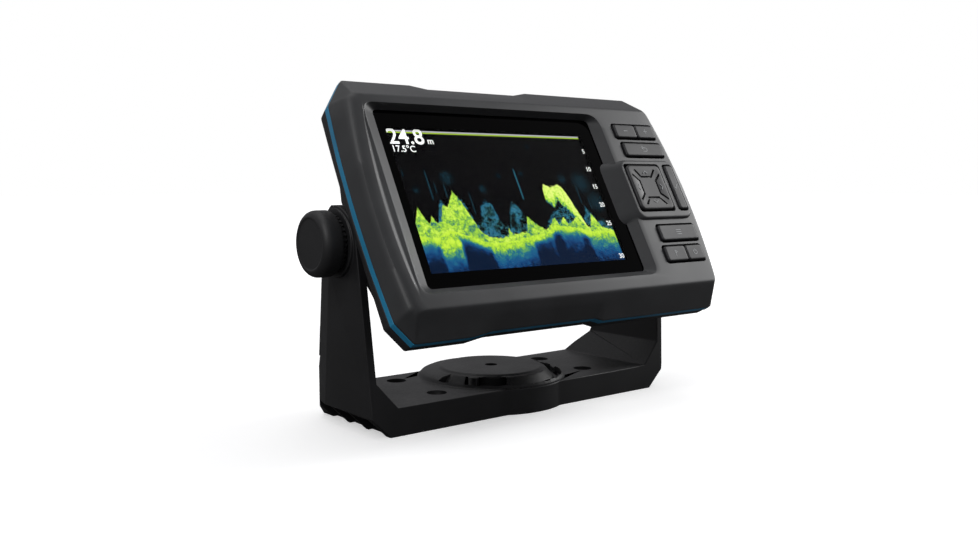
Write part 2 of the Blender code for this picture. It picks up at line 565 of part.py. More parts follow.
def main():
    for obj in list(bpy.data.objects):
        bpy.data.objects.remove(obj, do_unlink=True)

    case = material("Moulded case", (0.030, 0.031, 0.033), 0.52)
    rear = material("Rear moulding", (0.014, 0.014, 0.015), 0.62)
    black = material("Bracket plastic", (0.010, 0.010, 0.011), 0.58)
    grip = material("Knob rubber", (0.012, 0.012, 0.013), 0.68)
    accent = material("Blue trim", (0.010, 0.160, 0.300), 0.45)
    key = material("Key rubber", (0.016, 0.016, 0.018), 0.60)
    steel = material("Steel", (0.55, 0.55, 0.57), 0.32, 1.0)
    mats = {
        "glass": material("Window glass", (0.004, 0.004, 0.005), 0.08),
        "screen": material("Screen", (0.005, 0.010, 0.008), 0.20, emission=(0.10, 0.30, 0.12)),
        "backlight": material("White light guide", (0.80, 0.80, 0.80), 0.40),
        "board": material("Circuit board", (0.010, 0.090, 0.040), 0.50),
        "can": material("Tinned shield", (0.60, 0.60, 0.60), 0.35, 1.0),
        "socket": material("Socket plastic", (0.020, 0.020, 0.022), 0.50),
        "rubber": material("Seal rubber", (0.015, 0.015, 0.015), 0.75),
        "brass": material("Brass", (0.60, 0.40, 0.12), 0.30, 1.0),
    }

    make_bracket(black)
    make_knob("left", -1, grip, steel)
    make_knob("right", 1, grip, steel)

    frame = bpy.data.objects.new("display_frame", None)
    frame.location = Vector((0.0, PIVOT_Y, PIVOT_Z)) * MM
    frame.rotation_euler = (radians(90.0 - TILT), 0.0, 0.0)
    bpy.context.scene.collection.objects.link(frame)

    make_bezel(frame, case)
    make_ring("accent_band", display_outline(**RIM, notch=NOTCH_DEPTH),
              display_outline(**RIM, notch=NOTCH_DEPTH, inset=2.4), BAND_BACK_W,
              BEZEL_BACK_W - GAP, accent, frame)
    make_rear_housing(frame, rear)
    make_inside(frame, mats)
    make_socket(frame, mats["socket"], mats["brass"])
    make_screws(frame, steel)
    make_pivot_fittings(frame, mats["rubber"], mats["brass"])
    for name, sizes in KEYS.items():
        make_key(name, *sizes, key, frame)
    make_direction_pad(key, mats["rubber"], frame)


main()
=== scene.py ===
import json
from math import atan2, cos, pi, radians, sin

import bmesh
import bpy
from mathutils import Matrix, Vector


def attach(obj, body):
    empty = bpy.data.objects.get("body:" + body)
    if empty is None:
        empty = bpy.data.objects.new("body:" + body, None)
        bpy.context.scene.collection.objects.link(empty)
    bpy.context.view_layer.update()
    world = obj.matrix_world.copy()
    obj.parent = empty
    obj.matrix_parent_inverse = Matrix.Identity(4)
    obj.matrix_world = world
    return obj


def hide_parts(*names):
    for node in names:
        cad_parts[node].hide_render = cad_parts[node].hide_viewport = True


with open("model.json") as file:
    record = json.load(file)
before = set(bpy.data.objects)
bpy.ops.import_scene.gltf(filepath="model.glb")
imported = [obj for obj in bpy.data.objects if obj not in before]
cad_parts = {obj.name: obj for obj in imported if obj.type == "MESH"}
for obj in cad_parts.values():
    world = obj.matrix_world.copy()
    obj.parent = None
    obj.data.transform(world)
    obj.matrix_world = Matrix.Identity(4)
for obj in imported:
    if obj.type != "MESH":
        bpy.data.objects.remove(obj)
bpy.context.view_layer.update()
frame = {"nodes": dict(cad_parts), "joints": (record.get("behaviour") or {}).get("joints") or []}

# ---- bail bracket -------------------------------------------------------------------
# The foot and both arms are one glass-filled nylon moulding with a fine spark-eroded
# skin.  It is screwed down through four countersunk holes round the moulded hub.

MM = 0.001
MOULD_EDGE = 0.55           # radius that the mould leaves on outside edges
SHORT_EDGE = 1.3            # edges shorter than this, round small holes, stay sharp
POCKET_TOP = 8.3            # the edges of the hollows under the foot stay sharp up to here


def put(tree, kind, links=None, **values):
    """Add a shader node, set its properties and feed its inputs."""
    node = tree.nodes.new("ShaderNode" + kind)
    for name, value in values.items():
        setattr(node, name, value)
    for key, source in (links or {}).items():
        socket = node.inputs[key]
        if isinstance(source, bpy.types.NodeSocket):
            tree.links.new(source, socket)
        else:
            socket.default_value = source
    return node


def math_node(tree, operation, first, second=0.0, third=0.0, clamp=False):
    """Output of one Math node."""
    node = put(tree, "Math", {0: first, 1: second, 2: third}, operation=operation, use_clamp=clamp)
    return node.outputs[0]


def blend_colour(tree, factor, first, second, mode="MIX"):
    """Colour output of a Mix node."""
    node = put(tree, "Mix", data_type="RGBA", blend_type=mode)
    for name, source in (("Factor_Float", factor), ("A_Color", first), ("B_Color", second)):
        socket = next(s for s in node.inputs if s.identifier == name)
        if isinstance(source, bpy.types.NodeSocket):
            tree.links.new(source, socket)
        else:
            socket.default_value = source
    return next(s for s in node.outputs if s.identifier == "Result_Color")


def spread(tree, value, low, high, to_low=0.0, to_high=1.0):
    """Output of a clamped Map Range node."""
    node = put(tree, "MapRange", {"Value": value, "From Min": low, "From Max": high,
                                  "To Min": to_low, "To Max": to_high})
    return node.outputs[0]


def new_group(name, inputs, outputs):
    """Empty shader node group with float inputs and the named outputs."""
    tree = bpy.data.node_groups.new(name, "ShaderNodeTree")
    for label, value in inputs:
        socket = tree.interface.new_socket(label, in_out="INPUT", socket_type="NodeSocketFloat")
        socket.default_value = value
    for label in outputs:
        tree.interface.new_socket(label, in_out="OUTPUT", socket_type="NodeSocketFloat")
    return tree, tree.nodes.new("NodeGroupInput"), tree.nodes.new("NodeGroupOutput")


def make_moulded_skin():
    """Spark-eroded mould skin: fine pebbles, slow mottling and polished high spots."""
    tree, start, end = new_group("moulded_skin", [("Pebbles per mm", 3.0)], ["Height", "Mottle"])
    place = put(tree, "TexCoord").outputs["Object"]
    per_metre = math_node(tree, "MULTIPLY", start.outputs[0], 1000.0)
    fine = put(tree, "TexNoise", {"Vector": place, "Scale": per_metre, "Detail": 3.0})
    cells = put(tree, "TexVoronoi", {"Vector": place, "Scale": per_metre}, feature="SMOOTH_F1")
    height = math_node(tree, "ADD", math_node(tree, "MULTIPLY", fine.outputs[0], 0.6),
                       math_node(tree, "MULTIPLY", cells.outputs["Distance"], 0.5))
    slow = put(tree, "TexNoise", {"Vector": place, "Scale": 45.0, "Detail": 5.0})
    tree.links.new(height, end.inputs["Height"])
    tree.links.new(spread(tree, slow.outputs[0], 0.35, 0.65), end.inputs["Mottle"])
    return tree


def make_edge_rub():
    """Mask of the outside edges that hands and cloths have rubbed smooth."""
    tree, start, end = new_group("edge_rub", [("Amount", 0.5)], ["Mask"])
    place = put(tree, "TexCoord").outputs["Object"]
    sharp = spread(tree, put(tree, "NewGeometry").outputs["Pointiness"], 0.51, 0.60)
    patches = put(tree, "TexNoise", {"Vector": place, "Scale": 160.0, "Detail": 4.0})
    worn = math_node(tree, "MULTIPLY", sharp, spread(tree, patches.outputs[0], 0.3, 0.7))
    tree.links.new(math_node(tree, "MULTIPLY", worn, start.outputs[0]), end.inputs["Mask"])
    return tree


def make_dust():
    """Mask of the thin dust that settles on faces that look up."""
    tree, start, end = new_group("settled_dust", [("Amount", 0.2)], ["Mask"])
    place = put(tree, "TexCoord").outputs["Object"]
    up = put(tree, "SeparateXYZ", {0: put(tree, "NewGeometry").outputs["Normal"]}).outputs["Z"]
    flakes = put(tree, "TexNoise", {"Vector": place, "Scale": 900.0, "Detail": 2.0})
    lying = math_node(tree, "MULTIPLY", spread(tree, up, 0.5, 1.0), spread(tree, flakes.outputs[0], 0.4, 0.7))
    tree.links.new(math_node(tree, "MULTIPLY", lying, start.outputs[0]), end.inputs["Mask"])
    return tree


MOULDED_SKIN = make_moulded_skin()
EDGE_RUB = make_edge_rub()
DUST = make_dust()


def use_group(tree, group, **values):
    """Place a node group in a material with its own values."""
    node = put(tree, "Group", node_tree=group)
    for name, value in values.items():
        node.inputs[name.replace("_", " ")].default_value = value
    return node


def moulded(name, colour, roughness, pebbles=3.0, depth=0.02, rub=0.4, dust=0.1, specular=0.5):
    """Moulded plastic or rubber with skin texture, rubbed edges and a little dust."""
    mat = bpy.data.materials.new(name)
    mat.use_nodes = True
    tree = mat.node_tree
    shader = tree.nodes["Principled BSDF"]
    skin = use_group(tree, MOULDED_SKIN, Pebbles_per_mm=pebbles)
    worn = use_group(tree, EDGE_RUB, Amount=rub).outputs["Mask"]
    dusty = use_group(tree, DUST, Amount=dust).outputs["Mask"]
    dark = (*[0.86 * c for c in colour], 1.0)
    light = (*[1.12 * c for c in colour], 1.0)
    pale = (*[1.9 * c + 0.004 for c in colour], 1.0)
    base = blend_colour(tree, skin.outputs["Mottle"], dark, light)
    base = blend_colour(tree, worn, base, pale)
    base = blend_colour(tree, dusty, base, (0.22, 0.21, 0.20, 1.0))
    tree.links.new(base, shader.inputs["Base Color"])
    rough = spread(tree, skin.outputs["Mottle"], 0.0, 1.0, roughness - 0.035, roughness + 0.035)
    rough = math_node(tree, "SUBTRACT", rough, math_node(tree, "MULTIPLY", worn, 0.12))
    tree.links.new(rough, shader.inputs["Roughness"])
    bump = put(tree, "Bump", {"Height": skin.outputs["Height"], "Strength": 0.6, "Distance": depth * MM})
    tree.links.new(bump.outputs[0], shader.inputs["Normal"])
    shader.inputs["Specular IOR Level"].default_value = specular
    return mat


def settle(name, bm, material, place=Matrix.Identity(4), sharp=32.0):
    """Make a finished piece from a bmesh in millimetres, its place in its mesh."""
    bmesh.ops.transform(bm, matrix=place @ Matrix.Scale(MM, 4), verts=bm.verts)
    bmesh.ops.recalc_face_normals(bm, faces=bm.faces)
    mesh = bpy.data.meshes.new(name)
    bm.to_mesh(mesh)
    bm.free()
    mesh.shade_smooth()
    mesh.set_sharp_from_angle(angle=radians(sharp))
    mesh.materials.append(material)
    piece = bpy.data.objects.new(name, mesh)
    bpy.context.scene.collection.objects.link(piece)
    weighted = piece.modifiers.new("even shading", "WEIGHTED_NORMAL")
    weighted.keep_sharp = True
    return piece


def softened(node, radius, segments=3, angle=24.0, sharp_below=-1.0):
    """Copy of a CAD node in millimetres with its flats merged and its longer edges rounded."""
    bm = bmesh.new()
    bm.from_mesh(frame["nodes"][node].data)
    bmesh.ops.scale(bm, vec=(1 / MM,) * 3, verts=bm.verts)
    bmesh.ops.remove_doubles(bm, verts=bm.verts, dist=0.002)
    bmesh.ops.dissolve_limit(bm, angle_limit=radians(1.5), verts=bm.verts, edges=bm.edges)
    edges = [e for e in bm.edges if len(e.link_faces) == 2 and e.calc_face_angle() > radians(angle)
             and e.calc_length() > SHORT_EDGE and max(v.co.z for v in e.verts) > sharp_below]
    bmesh.ops.bevel(bm, geom=edges, offset=radius, segments=segments, profile=0.5,
                    affect="EDGES", material=-1, clamp_overlap=False, loop_slide=True)
    return bm


bracket_nylon = moulded("bracket_nylon", (0.0105, 0.0105, 0.0115), 0.50, pebbles=2.6, depth=0.03)
bracket = settle("bail_bracket_moulding",
                 softened("bail_bracket", MOULD_EDGE, sharp_below=POCKET_TOP), bracket_nylon)
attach(bracket, "bracket")
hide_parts("bail_bracket")

# ---- rear housing -------------------------------------------------------------------
# Deep shell in matt black glass-filled plastic that holds the boards.  Two bosses on its
# sides carry the tilt axis, and six screws pull it against the bezel.

SHELL_EDGE = 0.6
rear_plastic = moulded("rear_plastic", (0.013, 0.013, 0.014), 0.55, pebbles=2.4, depth=0.035)
housing = settle("rear_shell", softened("rear_housing", SHELL_EDGE), rear_plastic)
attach(housing, "display")
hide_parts("rear_housing")

# ---- threaded inserts and grip washers ----------------------------------------------
# A turned brass insert is pressed into each end of the tilt axis for the knob's stud.  A
# toothed rubber washer between housing and arm keeps the display where it was tipped.

PIVOT = Vector(next(j for j in frame["joints"] if j["name"] == "display_tilt")["pos_m"])
SIDES = (("left", -1.0), ("right", 1.0))


def turned(bm, profile, steps=64):
    """Spin a half section, given as radius and height, into a round solid."""
    verts = [bm.verts.new((radius, 0.0, height)) for radius, height in profile]
    edges = [bm.edges.new(pair) for pair in zip(verts, verts[1:])]
    bmesh.ops.spin(bm, geom=verts + edges, cent=(0, 0, 0), axis=(0, 0, 1), dvec=(0, 0, 0),
                   angle=2 * pi, steps=steps, use_merge=True)
    bmesh.ops.remove_doubles(bm, verts=bm.verts, dist=1e-4)
    return bm


def across(sign):
    """Matrix that lays a turned piece on the tilt axis, its Z pointing out to one side."""
    return Matrix.Translation(PIVOT) @ Matrix.Rotation(sign * pi / 2, 4, "Y")


def metal(name, colour, roughness, grain=350.0, tarnish=(0.20, 0.15, 0.10)):
    """Turned or pressed metal with fine grain and patches of tarnish."""
    mat = bpy.data.materials.new(name)
    mat.use_nodes = True
    tree = mat.node_tree
    shader = tree.nodes["Principled BSDF"]
    place = put(tree, "TexCoord").outputs["Object"]
    fine = put(tree, "TexNoise", {"Vector": place, "Scale": grain * 10, "Detail": 3.0}).outputs[0]
    slow = put(tree, "TexNoise", {"Vector": place, "Scale": grain, "Detail": 4.0}).outputs[0]
    dull = spread(tree, slow, 0.52, 0.72, 0.0, 0.5)
    tree.links.new(blend_colour(tree, dull, (*colour, 1), (*tarnish, 1)), shader.inputs["Base Color"])
    rough = math_node(tree, "MULTIPLY_ADD", fine, 0.12, roughness - 0.06)
    tree.links.new(math_node(tree, "MULTIPLY_ADD", dull, 0.25, rough), shader.inputs["Roughness"])
    bump = put(tree, "Bump", {"Height": fine, "Strength": 0.3, "Distance": 0.01 * MM})
    tree.links.new(bump.outputs[0], shader.inputs["Normal"])
    shader.inputs["Metallic"].default_value = 1.0
    return mat


brass = metal("brass_turned", (0.60, 0.40, 0.13), 0.30)
washer_rubber = moulded("washer_rubber", (0.012, 0.012, 0.012), 0.75, pebbles=6.0, rub=0.2)
for side, sign in SIDES:
    insert = [(3.35, 72.9), (4.7, 72.9), (5.0, 73.3), (5.0, 76.8), (4.5, 77.1), (4.5, 77.9),
              (5.0, 78.2), (5.0, 82.8), (4.7, 83.15), (3.35, 83.15), (3.35, 72.9)]
    piece = settle(side + "_insert", turned(bmesh.new(), insert, 48), brass, across(sign))
    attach(piece, "display")
    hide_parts(side + "_threaded_insert")

    ring = [(5.1, 83.7), (5.3, 83.6), (11.8, 83.6), (12.0, 83.8), (12.0, 84.7), (11.8, 84.9),
            (11.0, 84.9), (11.0, 84.6), (6.0, 84.6), (6.0, 84.9), (5.3, 84.9), (5.1, 84.8),
            (5.1, 83.7)]
    bm = turned(bmesh.new(), ring, 48)
    for step in range(24):
        turn = Matrix.Rotation(2 * pi * step / 24, 4, "Z")
        tooth = Matrix.Diagonal((5.2, 0.55, 0.35, 1.0))
        bmesh.ops.create_cube(bm, size=1.0, matrix=turn @ Matrix.Translation((8.5, 0, 84.72)) @ tooth)
    piece = settle(side + "_washer", bm, washer_rubber, across(sign))
    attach(piece, "display")
    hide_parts(side + "_grip_washer")

# ---- connector socket ---------------------------------------------------------------
# Round keyed socket for the power and transducer plug, moulded in black nylon and held
# in the back of the housing.  Four turned brass pins stand in its floor.

LEAN = radians(90.0 - 29.4)
ON_DISPLAY = Matrix.Translation(PIVOT) @ Matrix.Rotation(LEAN, 4, "X")
SOCKET_U, SOCKET_V = -22.0, 1.5
BACK_W = -10.0


def at(u, v, w=0.0):
    """Matrix of a point on the display, in millimetres from the middle of the tilt axis."""
    return ON_DISPLAY @ Matrix.Translation(Vector((u, v, w)) * MM)


socket_nylon = moulded("socket_nylon", (0.016, 0.016, 0.018), 0.42, pebbles=5.0, depth=0.01)
shape = [(0.0, BACK_W + 3.9), (9.8, BACK_W + 3.9), (10.0, BACK_W + 3.7), (10.0, BACK_W + 0.1),
         (9.7, BACK_W - 0.2), (7.9, BACK_W - 0.2), (7.4, BACK_W + 0.3), (7.4, BACK_W + 2.2),
         (7.2, BACK_W + 2.4), (0.0, BACK_W + 2.4)]
bm = turned(bmesh.new(), shape, 64)
key_rib = Matrix.Translation((0.0, 6.9, BACK_W + 1.3)) @ Matrix.Diagonal((1.6, 1.4, 2.4, 1.0))
bmesh.ops.create_cube(bm, size=1.0, matrix=key_rib)
socket = settle("plug_socket", bm, socket_nylon, at(SOCKET_U, SOCKET_V))
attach(socket, "display")
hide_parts("connector_socket")

for number in range(4):
    angle = radians(45 + 90 * number)
    pin = [(0.0, BACK_W + 0.6), (0.4, BACK_W + 0.65), (0.7, BACK_W + 0.9), (0.8, BACK_W + 1.3),
           (0.8, BACK_W + 5.3), (0.0, BACK_W + 5.3)]
    place = at(SOCKET_U + 3.2 * cos(angle), SOCKET_V + 3.2 * sin(angle))
    piece = settle("plug_pin_%d" % (number + 1), turned(bmesh.new(), pin, 20), brass, place)
    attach(piece, "display")
    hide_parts("socket_pin_%d" % (number + 1))

# ---- boards, shield can and buzzer --------------------------------------------------
# Two green glass-fibre boards carry the electronics and the key contacts.  A tinned can
# shields the sonar amplifier, and a round buzzer gives the alarms.


def on_display(tree):
    """Place on the display in millimetres: across, up and out from the tilt axis."""
    place = put(tree, "TexCoord").outputs["Object"]
    return put(tree, "Mapping", {"Vector": place, "Location": PIVOT, "Rotation": (LEAN, 0, 0),
                                 "Scale": (MM, MM, MM)}, vector_type="TEXTURE").outputs[0]


def make_board_green():
    """Solder mask with copper tracks that show through it and tinned pads."""
    mat = bpy.data.materials.new("board_green")
    mat.use_nodes = True
    tree = mat.node_tree
    shader = tree.nodes["Principled BSDF"]
    place = on_display(tree)
    tracks = put(tree, "TexBrick", {"Vector": place, "Scale": 0.35, "Mortar Size": 0.035,
                                    "Color1": (0.010, 0.085, 0.035, 1), "Color2": (0.012, 0.10, 0.04, 1),
                                    "Mortar": (0.03, 0.17, 0.07, 1)})
    pads = put(tree, "TexVoronoi", {"Vector": place, "Scale": 0.3}).outputs["Distance"]
    tinned = math_node(tree, "LESS_THAN", pads, 0.12)
    tree.links.new(blend_colour(tree, tinned, tracks.outputs[0], (0.6, 0.6, 0.58, 1)),
                   shader.inputs["Base Color"])
    tree.links.new(spread(tree, tinned, 0.0, 1.0, 0.45, 0.25), shader.inputs["Roughness"])
    tree.links.new(tinned, shader.inputs["Metallic"])
    return mat


board_green = make_board_green()
shield_tin = metal("shield_tin", (0.62, 0.62, 0.60), 0.38, tarnish=(0.35, 0.34, 0.32))
for node, finish in (("main_board", board_green), ("keypad_board", board_green),
                     ("sonar_shield_can", shield_tin), ("buzzer", socket_nylon)):
    frame["nodes"][node].data.materials.clear()
    frame["nodes"][node].data.materials.append(finish)

# ---- screen -------------------------------------------------------------------------
# Colour liquid crystal panel over a white light guide.  It shows a sonar picture of the
# sea bed, drawn in yellow, green and blue on black, with the depth scale at the right.

LEFT_U, WIDE = -71.0, 108.0
LOW_V, TALL = -29.0, 64.8
FRONT_OF_PANEL = 29.3
PRINT_LIFT = 0.05           # the lit readings lie this far in front of the panel

BED = [(-71, -12.4), (-66, -13.2), (-62, -13.7), (-58, -11.5), (-55, -10.3), (-50, -12.0),
       (-46, -13.3), (-40, -16.0), (-36, -17.0), (-29, -17.0), (-23, -16.5), (-17, -15.2),
       (-12, -14.6), (-6, -14.0), (-2.5, -13.0), (1, -9.9), (8, -10.9), (12, -11.2), (17, -12.0),
       (21, -13.5), (30, -13.8), (37, -14.0)]
MOUNDS = [(-71, -8.0), (-69, -4.0), (-67, 0.5), (-65.4, -4.0), (-63.6, -7.5), (-61.6, -3.8),
          (-59.8, -7.0), (-57.5, -6.0), (-54.6, 1.0), (-52.0, 0.5), (-50.0, 3.4), (-47.4, 7.4),
          (-45.0, 3.6), (-42.0, -4.5), (-39.4, -11.6), (-36, -14.0), (-30, -15.0), (-25.5, -14.0),
          (-24.2, -10.5), (-23, -13.5), (-14.5, -12.5), (-12.0, -5.5), (-8.0, -9.0),
          (-4.0, -12.0), (-1.0, -10.5), (1.5, -8.0), (3.5, -6.0), (5.0, -10.0), (9.0, -6.0),
          (10.5, -9.5), (14.5, -8.0), (17.5, -5.5), (19.5, -9.5), (23.0, -12.5), (25.0, -8.0),
          (26.5, -4.8), (28.3, -7.5), (30.6, -11.7), (37, -13.5)]
WEED = [(-71, -10), (-64, -10), (-59, -6.0), (-55.0, 4.0), (-51, -2), (-44, 4.0), (-40, -8),
        (-37, -6.0), (-35.0, 0.0), (-32.0, 2.5), (-29.0, 1.0), (-27.0, -8.0), (-23, -10),
        (-20.5, -2.0), (-17.5, 1.5), (-15.0, 0.0), (-12.5, -6.0), (-8, -10.0), (-3.0, -11.0),
        (2.0, -5.0), (8.0, -2.0), (13.0, -1.0), (17.0, -5.0), (20.0, -9.0), (23.0, -5.0),
        (24.5, -1.0), (26.0, -3.5), (30.0, -9.0), (33.0, -8.0), (37, -12.0)]
SHADE = [(-71, 0.55), (-63, 0.70), (-61, 0.10), (-52, 0.05), (-50, 0.95), (-38, 1.0), (-36, 0.42),
         (-14, 0.42), (-12, 0.95), (-8, 1.0), (-4, 0.9), (-2, 0.6), (0, 0.95), (3, 0.9), (5, 0.62),
         (15, 0.66), (17, 1.0), (19, 0.9), (21, 0.40), (37, 0.36)]
ARCH_TOP = [(-71, -20), (1.8, -20), (2.1, 3.0), (2.8, 8.6), (4.2, 10.4), (6.0, 9.4), (9.0, 9.3),
            (12.0, 10.1), (14.0, 9.6), (15.5, 7.0), (17.0, 3.0), (18.5, -2.0), (20.0, -6.0),
            (21.5, -11.0), (37, -20)]
ARCH_FOOT = [(-71, 0), (1.8, 2.0), (4.0, 0.6), (6.0, -1.6), (8.0, 0.8), (9.5, 2.4), (11.0, -0.6),
             (13.0, -2.0), (15.0, -5.0), (17.0, -9.0), (19.0, -12.0), (21.5, -15.0), (37, -20)]
STREAKS = [(-58.0, 3.0, 17.5, 0.30), (-50.6, 4.0, 11.0, 0.25), (-69.0, 14.0, 17.5, 0.25),
           (-10.3, 2.5, 18.5, 1.0), (23.5, 0.0, 10.0, 0.20), (-39.0, -4.0, 7.0, 0.20),
           (-55.2, 6.0, 12.0, 0.18), (28.5, -3.0, 4.0, 0.2)]
CLOUDS = [(-48.0, 13.5, 4.0), (27.5, 11.0, 6.5), (16.5, 13.0, 3.0), (33.0, 1.0, 6.0), (-31.0, 8.0, 2.5),
          (-20.0, 14.5, 1.6), (2.5, 29.5, 1.2), (-65.0, 8.0, 2.0), (14.0, -1.0, 6.0), (-7.0, 15.5, 1.8)]


def along(tree, across_screen, points, low=LOW_V, tall=TALL):
    """Height in millimetres read off a drawn line across the screen."""
    node = put(tree, "FloatCurve", {"Value": across_screen})
    line = node.mapping.curves[0]
    places = [((u - LEFT_U) / WIDE, (v - low) / tall) for u, v in points]
    line.points[0].location = places[0]
    line.points[1].location = places[-1]
    for place in places[1:-1]:
        line.points.new(*place)
    for point in line.points:
        point.handle_type = "VECTOR"
    node.mapping.update()
    return math_node(tree, "MULTIPLY_ADD", node.outputs[0], tall, low)


def ramp(tree, value, stops):
    """Colour of a ramp with the given places and linear colours."""
    node = put(tree, "ValToRGB", {"Fac": value})
    first, last = node.color_ramp.elements
    first.position, first.color = stops[0][0], (*stops[0][1], 1)
    last.position, last.color = stops[-1][0], (*stops[-1][1], 1)
    for place, colour in stops[1:-1]:
        node.color_ramp.elements.new(place).color = (*colour, 1)
    return node.outputs[0]


def make_sonar_picture():
    """Lit panel with the returns of a split sonar beam over a rocky bed."""
    mat = bpy.data.materials.new("sonar_picture")
    mat.use_nodes = True
    tree = mat.node_tree
    shader = tree.nodes["Principled BSDF"]
    place = on_display(tree)
    axes = put(tree, "SeparateXYZ", {0: place})
    u, v = axes.outputs[0], axes.outputs[1]
    rough_edge = put(tree, "TexNoise", {"Vector": place, "Scale": 0.75, "Detail": 5.0,
                                        "Roughness": 0.7}).outputs[0]
    jitter = math_node(tree, "MULTIPLY_ADD", rough_edge, 5.0, -2.5)
    s = math_node(tree, "DIVIDE", math_node(tree, "SUBTRACT", u, LEFT_U), WIDE)
    blotch = put(tree, "TexNoise", {"Vector": place, "Scale": 0.32, "Detail": 6.0,
                                    "Roughness": 0.68}).outputs[0]
    soft_v = math_node(tree, "MULTIPLY_ADD", rough_edge, 2.4, math_node(tree, "SUBTRACT", v, 1.2))

    bed = along(tree, s, BED)
    depth = math_node(tree, "SUBTRACT", bed, soft_v)
    shade = math_node(tree, "SUBTRACT", along(tree, s, SHADE, 0.0, 1.0), 0.4)
    below = spread(tree, depth, -0.2, 0.4)
    upright = put(tree, "Mapping", {"Vector": place, "Scale": (1.15, 0.42, 1.0)}).outputs[0]
    needles = put(tree, "TexNoise", {"Vector": upright, "Detail": 6.0, "Roughness": 0.75}).outputs[0]
    tone = math_node(tree, "MULTIPLY_ADD", math_node(tree, "SUBTRACT", needles, 0.5), 1.5,
                     math_node(tree, "DIVIDE", depth, 14.0))
    lower = spread(tree, depth, 2.0, 5.0)
    tone = math_node(tree, "MULTIPLY_ADD", math_node(tree, "MULTIPLY", shade, lower), 1.0, tone)
    tone = math_node(tree, "MULTIPLY_ADD", math_node(tree, "SUBTRACT", blotch, 0.5), 1.0, tone)
    tone = math_node(tree, "MULTIPLY_ADD", math_node(tree, "SUBTRACT", rough_edge, 0.5), 0.5, tone)
    ground = ramp(tree, tone, [(0.0, (0.62, 0.90, 0.07)), (0.15, (0.45, 0.78, 0.03)),
                               (0.26, (0.15, 0.45, 0.06)), (0.36, (0.03, 0.25, 0.17)),
                               (0.50, (0.012, 0.13, 0.27)), (0.76, (0.006, 0.06, 0.20)),
                               (0.95, (0.003, 0.02, 0.075)), (1.0, (0.001, 0.008, 0.03))])

    mound = math_node(tree, "SUBTRACT", along(tree, s, MOUNDS),
                      math_node(tree, "MULTIPLY_ADD", jitter, 0.8, v))
    rock = spread(tree, mound, 0.0, 0.4)
    rock_tone = math_node(tree, "MULTIPLY_ADD", math_node(tree, "SUBTRACT", needles, 0.5), 2.0,
                          math_node(tree, "MULTIPLY_ADD", mound, 0.012, 0.30))
    rock_tone = math_node(tree, "MULTIPLY_ADD", math_node(tree, "SUBTRACT", blotch, 0.5), 2.2, rock_tone)
    rock_colour = ramp(tree, rock_tone, [(0.0, (0.72, 0.95, 0.14)), (0.30, (0.45, 0.78, 0.04)),
                                         (0.50, (0.17, 0.45, 0.06)), (0.66, (0.02, 0.18, 0.16)),
                                         (0.84, (0.008, 0.08, 0.18)), (1.0, (0.002, 0.015, 0.05))])

    weed = math_node(tree, "SUBTRACT", along(tree, s, WEED),
                     math_node(tree, "MULTIPLY_ADD", jitter, 1.8, v))
    fronds = math_node(tree, "MULTIPLY", spread(tree, weed, 0.0, 0.8),
                       spread(tree, math_node(tree, "ADD", blotch, needles), 0.97, 1.04))
    weed_colour = ramp(tree, needles, [(0.34, (0.003, 0.02, 0.06)), (0.46, (0.012, 0.09, 0.22)),
                                          (0.56, (0.03, 0.21, 0.30)), (0.68, (0.16, 0.48, 0.24))])

    ragged = math_node(tree, "MULTIPLY_ADD", jitter, 0.9, v)
    under_top = math_node(tree, "SUBTRACT", along(tree, s, ARCH_TOP), ragged)
    over_foot = math_node(tree, "SUBTRACT", ragged, along(tree, s, ARCH_FOOT))
    arch = math_node(tree, "MULTIPLY", spread(tree, under_top, 0.0, 0.4), spread(tree, over_foot, -0.6, 0.2))
    arch_tone = math_node(tree, "MULTIPLY_ADD", math_node(tree, "SUBTRACT", rough_edge, 0.5), 2.6,
                          spread(tree, over_foot, 5.0, -0.5, 0.05, 0.72))
    arch_colour = ramp(tree, arch_tone, [(0.0, (0.80, 0.98, 0.22)), (0.35, (0.50, 0.84, 0.05)),
                                         (0.58, (0.12, 0.42, 0.08)), (0.72, (0.015, 0.13, 0.22)),
                                         (1.0, (0.001, 0.010, 0.03))])

    haze = math_node(tree, "MULTIPLY", spread(tree, put(tree, "TexNoise", {
        "Vector": place, "Scale": 0.9, "Detail": 4.0, "Roughness": 0.75}).outputs[0], 0.70, 0.76),
        spread(tree, v, 14.0, -4.0, 0.0, 0.8))
    for streak_u, streak_low, streak_high, strength in STREAKS:
        off = math_node(tree, "ABSOLUTE", math_node(tree, "SUBTRACT", u, streak_u))
        reach = math_node(tree, "MULTIPLY", spread(tree, v, streak_high, streak_high - 2.0),
                          spread(tree, v, streak_low, streak_low + 1.0))
        streak = math_node(tree, "MULTIPLY", spread(tree, off, 0.36, 0.08), reach)
        haze = math_node(tree, "MAXIMUM", haze, math_node(tree, "MULTIPLY", streak, strength))
    for cloud_u, cloud_v, size in CLOUDS:
        off = put(tree, "VectorMath", {0: put(tree, "CombineXYZ", {0: u, 1: v}).outputs[0],
                                       1: (cloud_u, cloud_v, 0.0)}, operation="DISTANCE").outputs["Value"]
        puff = math_node(tree, "MULTIPLY", spread(tree, off, size, 0.3 * size, 0.0, 0.7),
                         spread(tree, needles, 0.54, 0.60))
        haze = math_node(tree, "MAXIMUM", haze, puff)

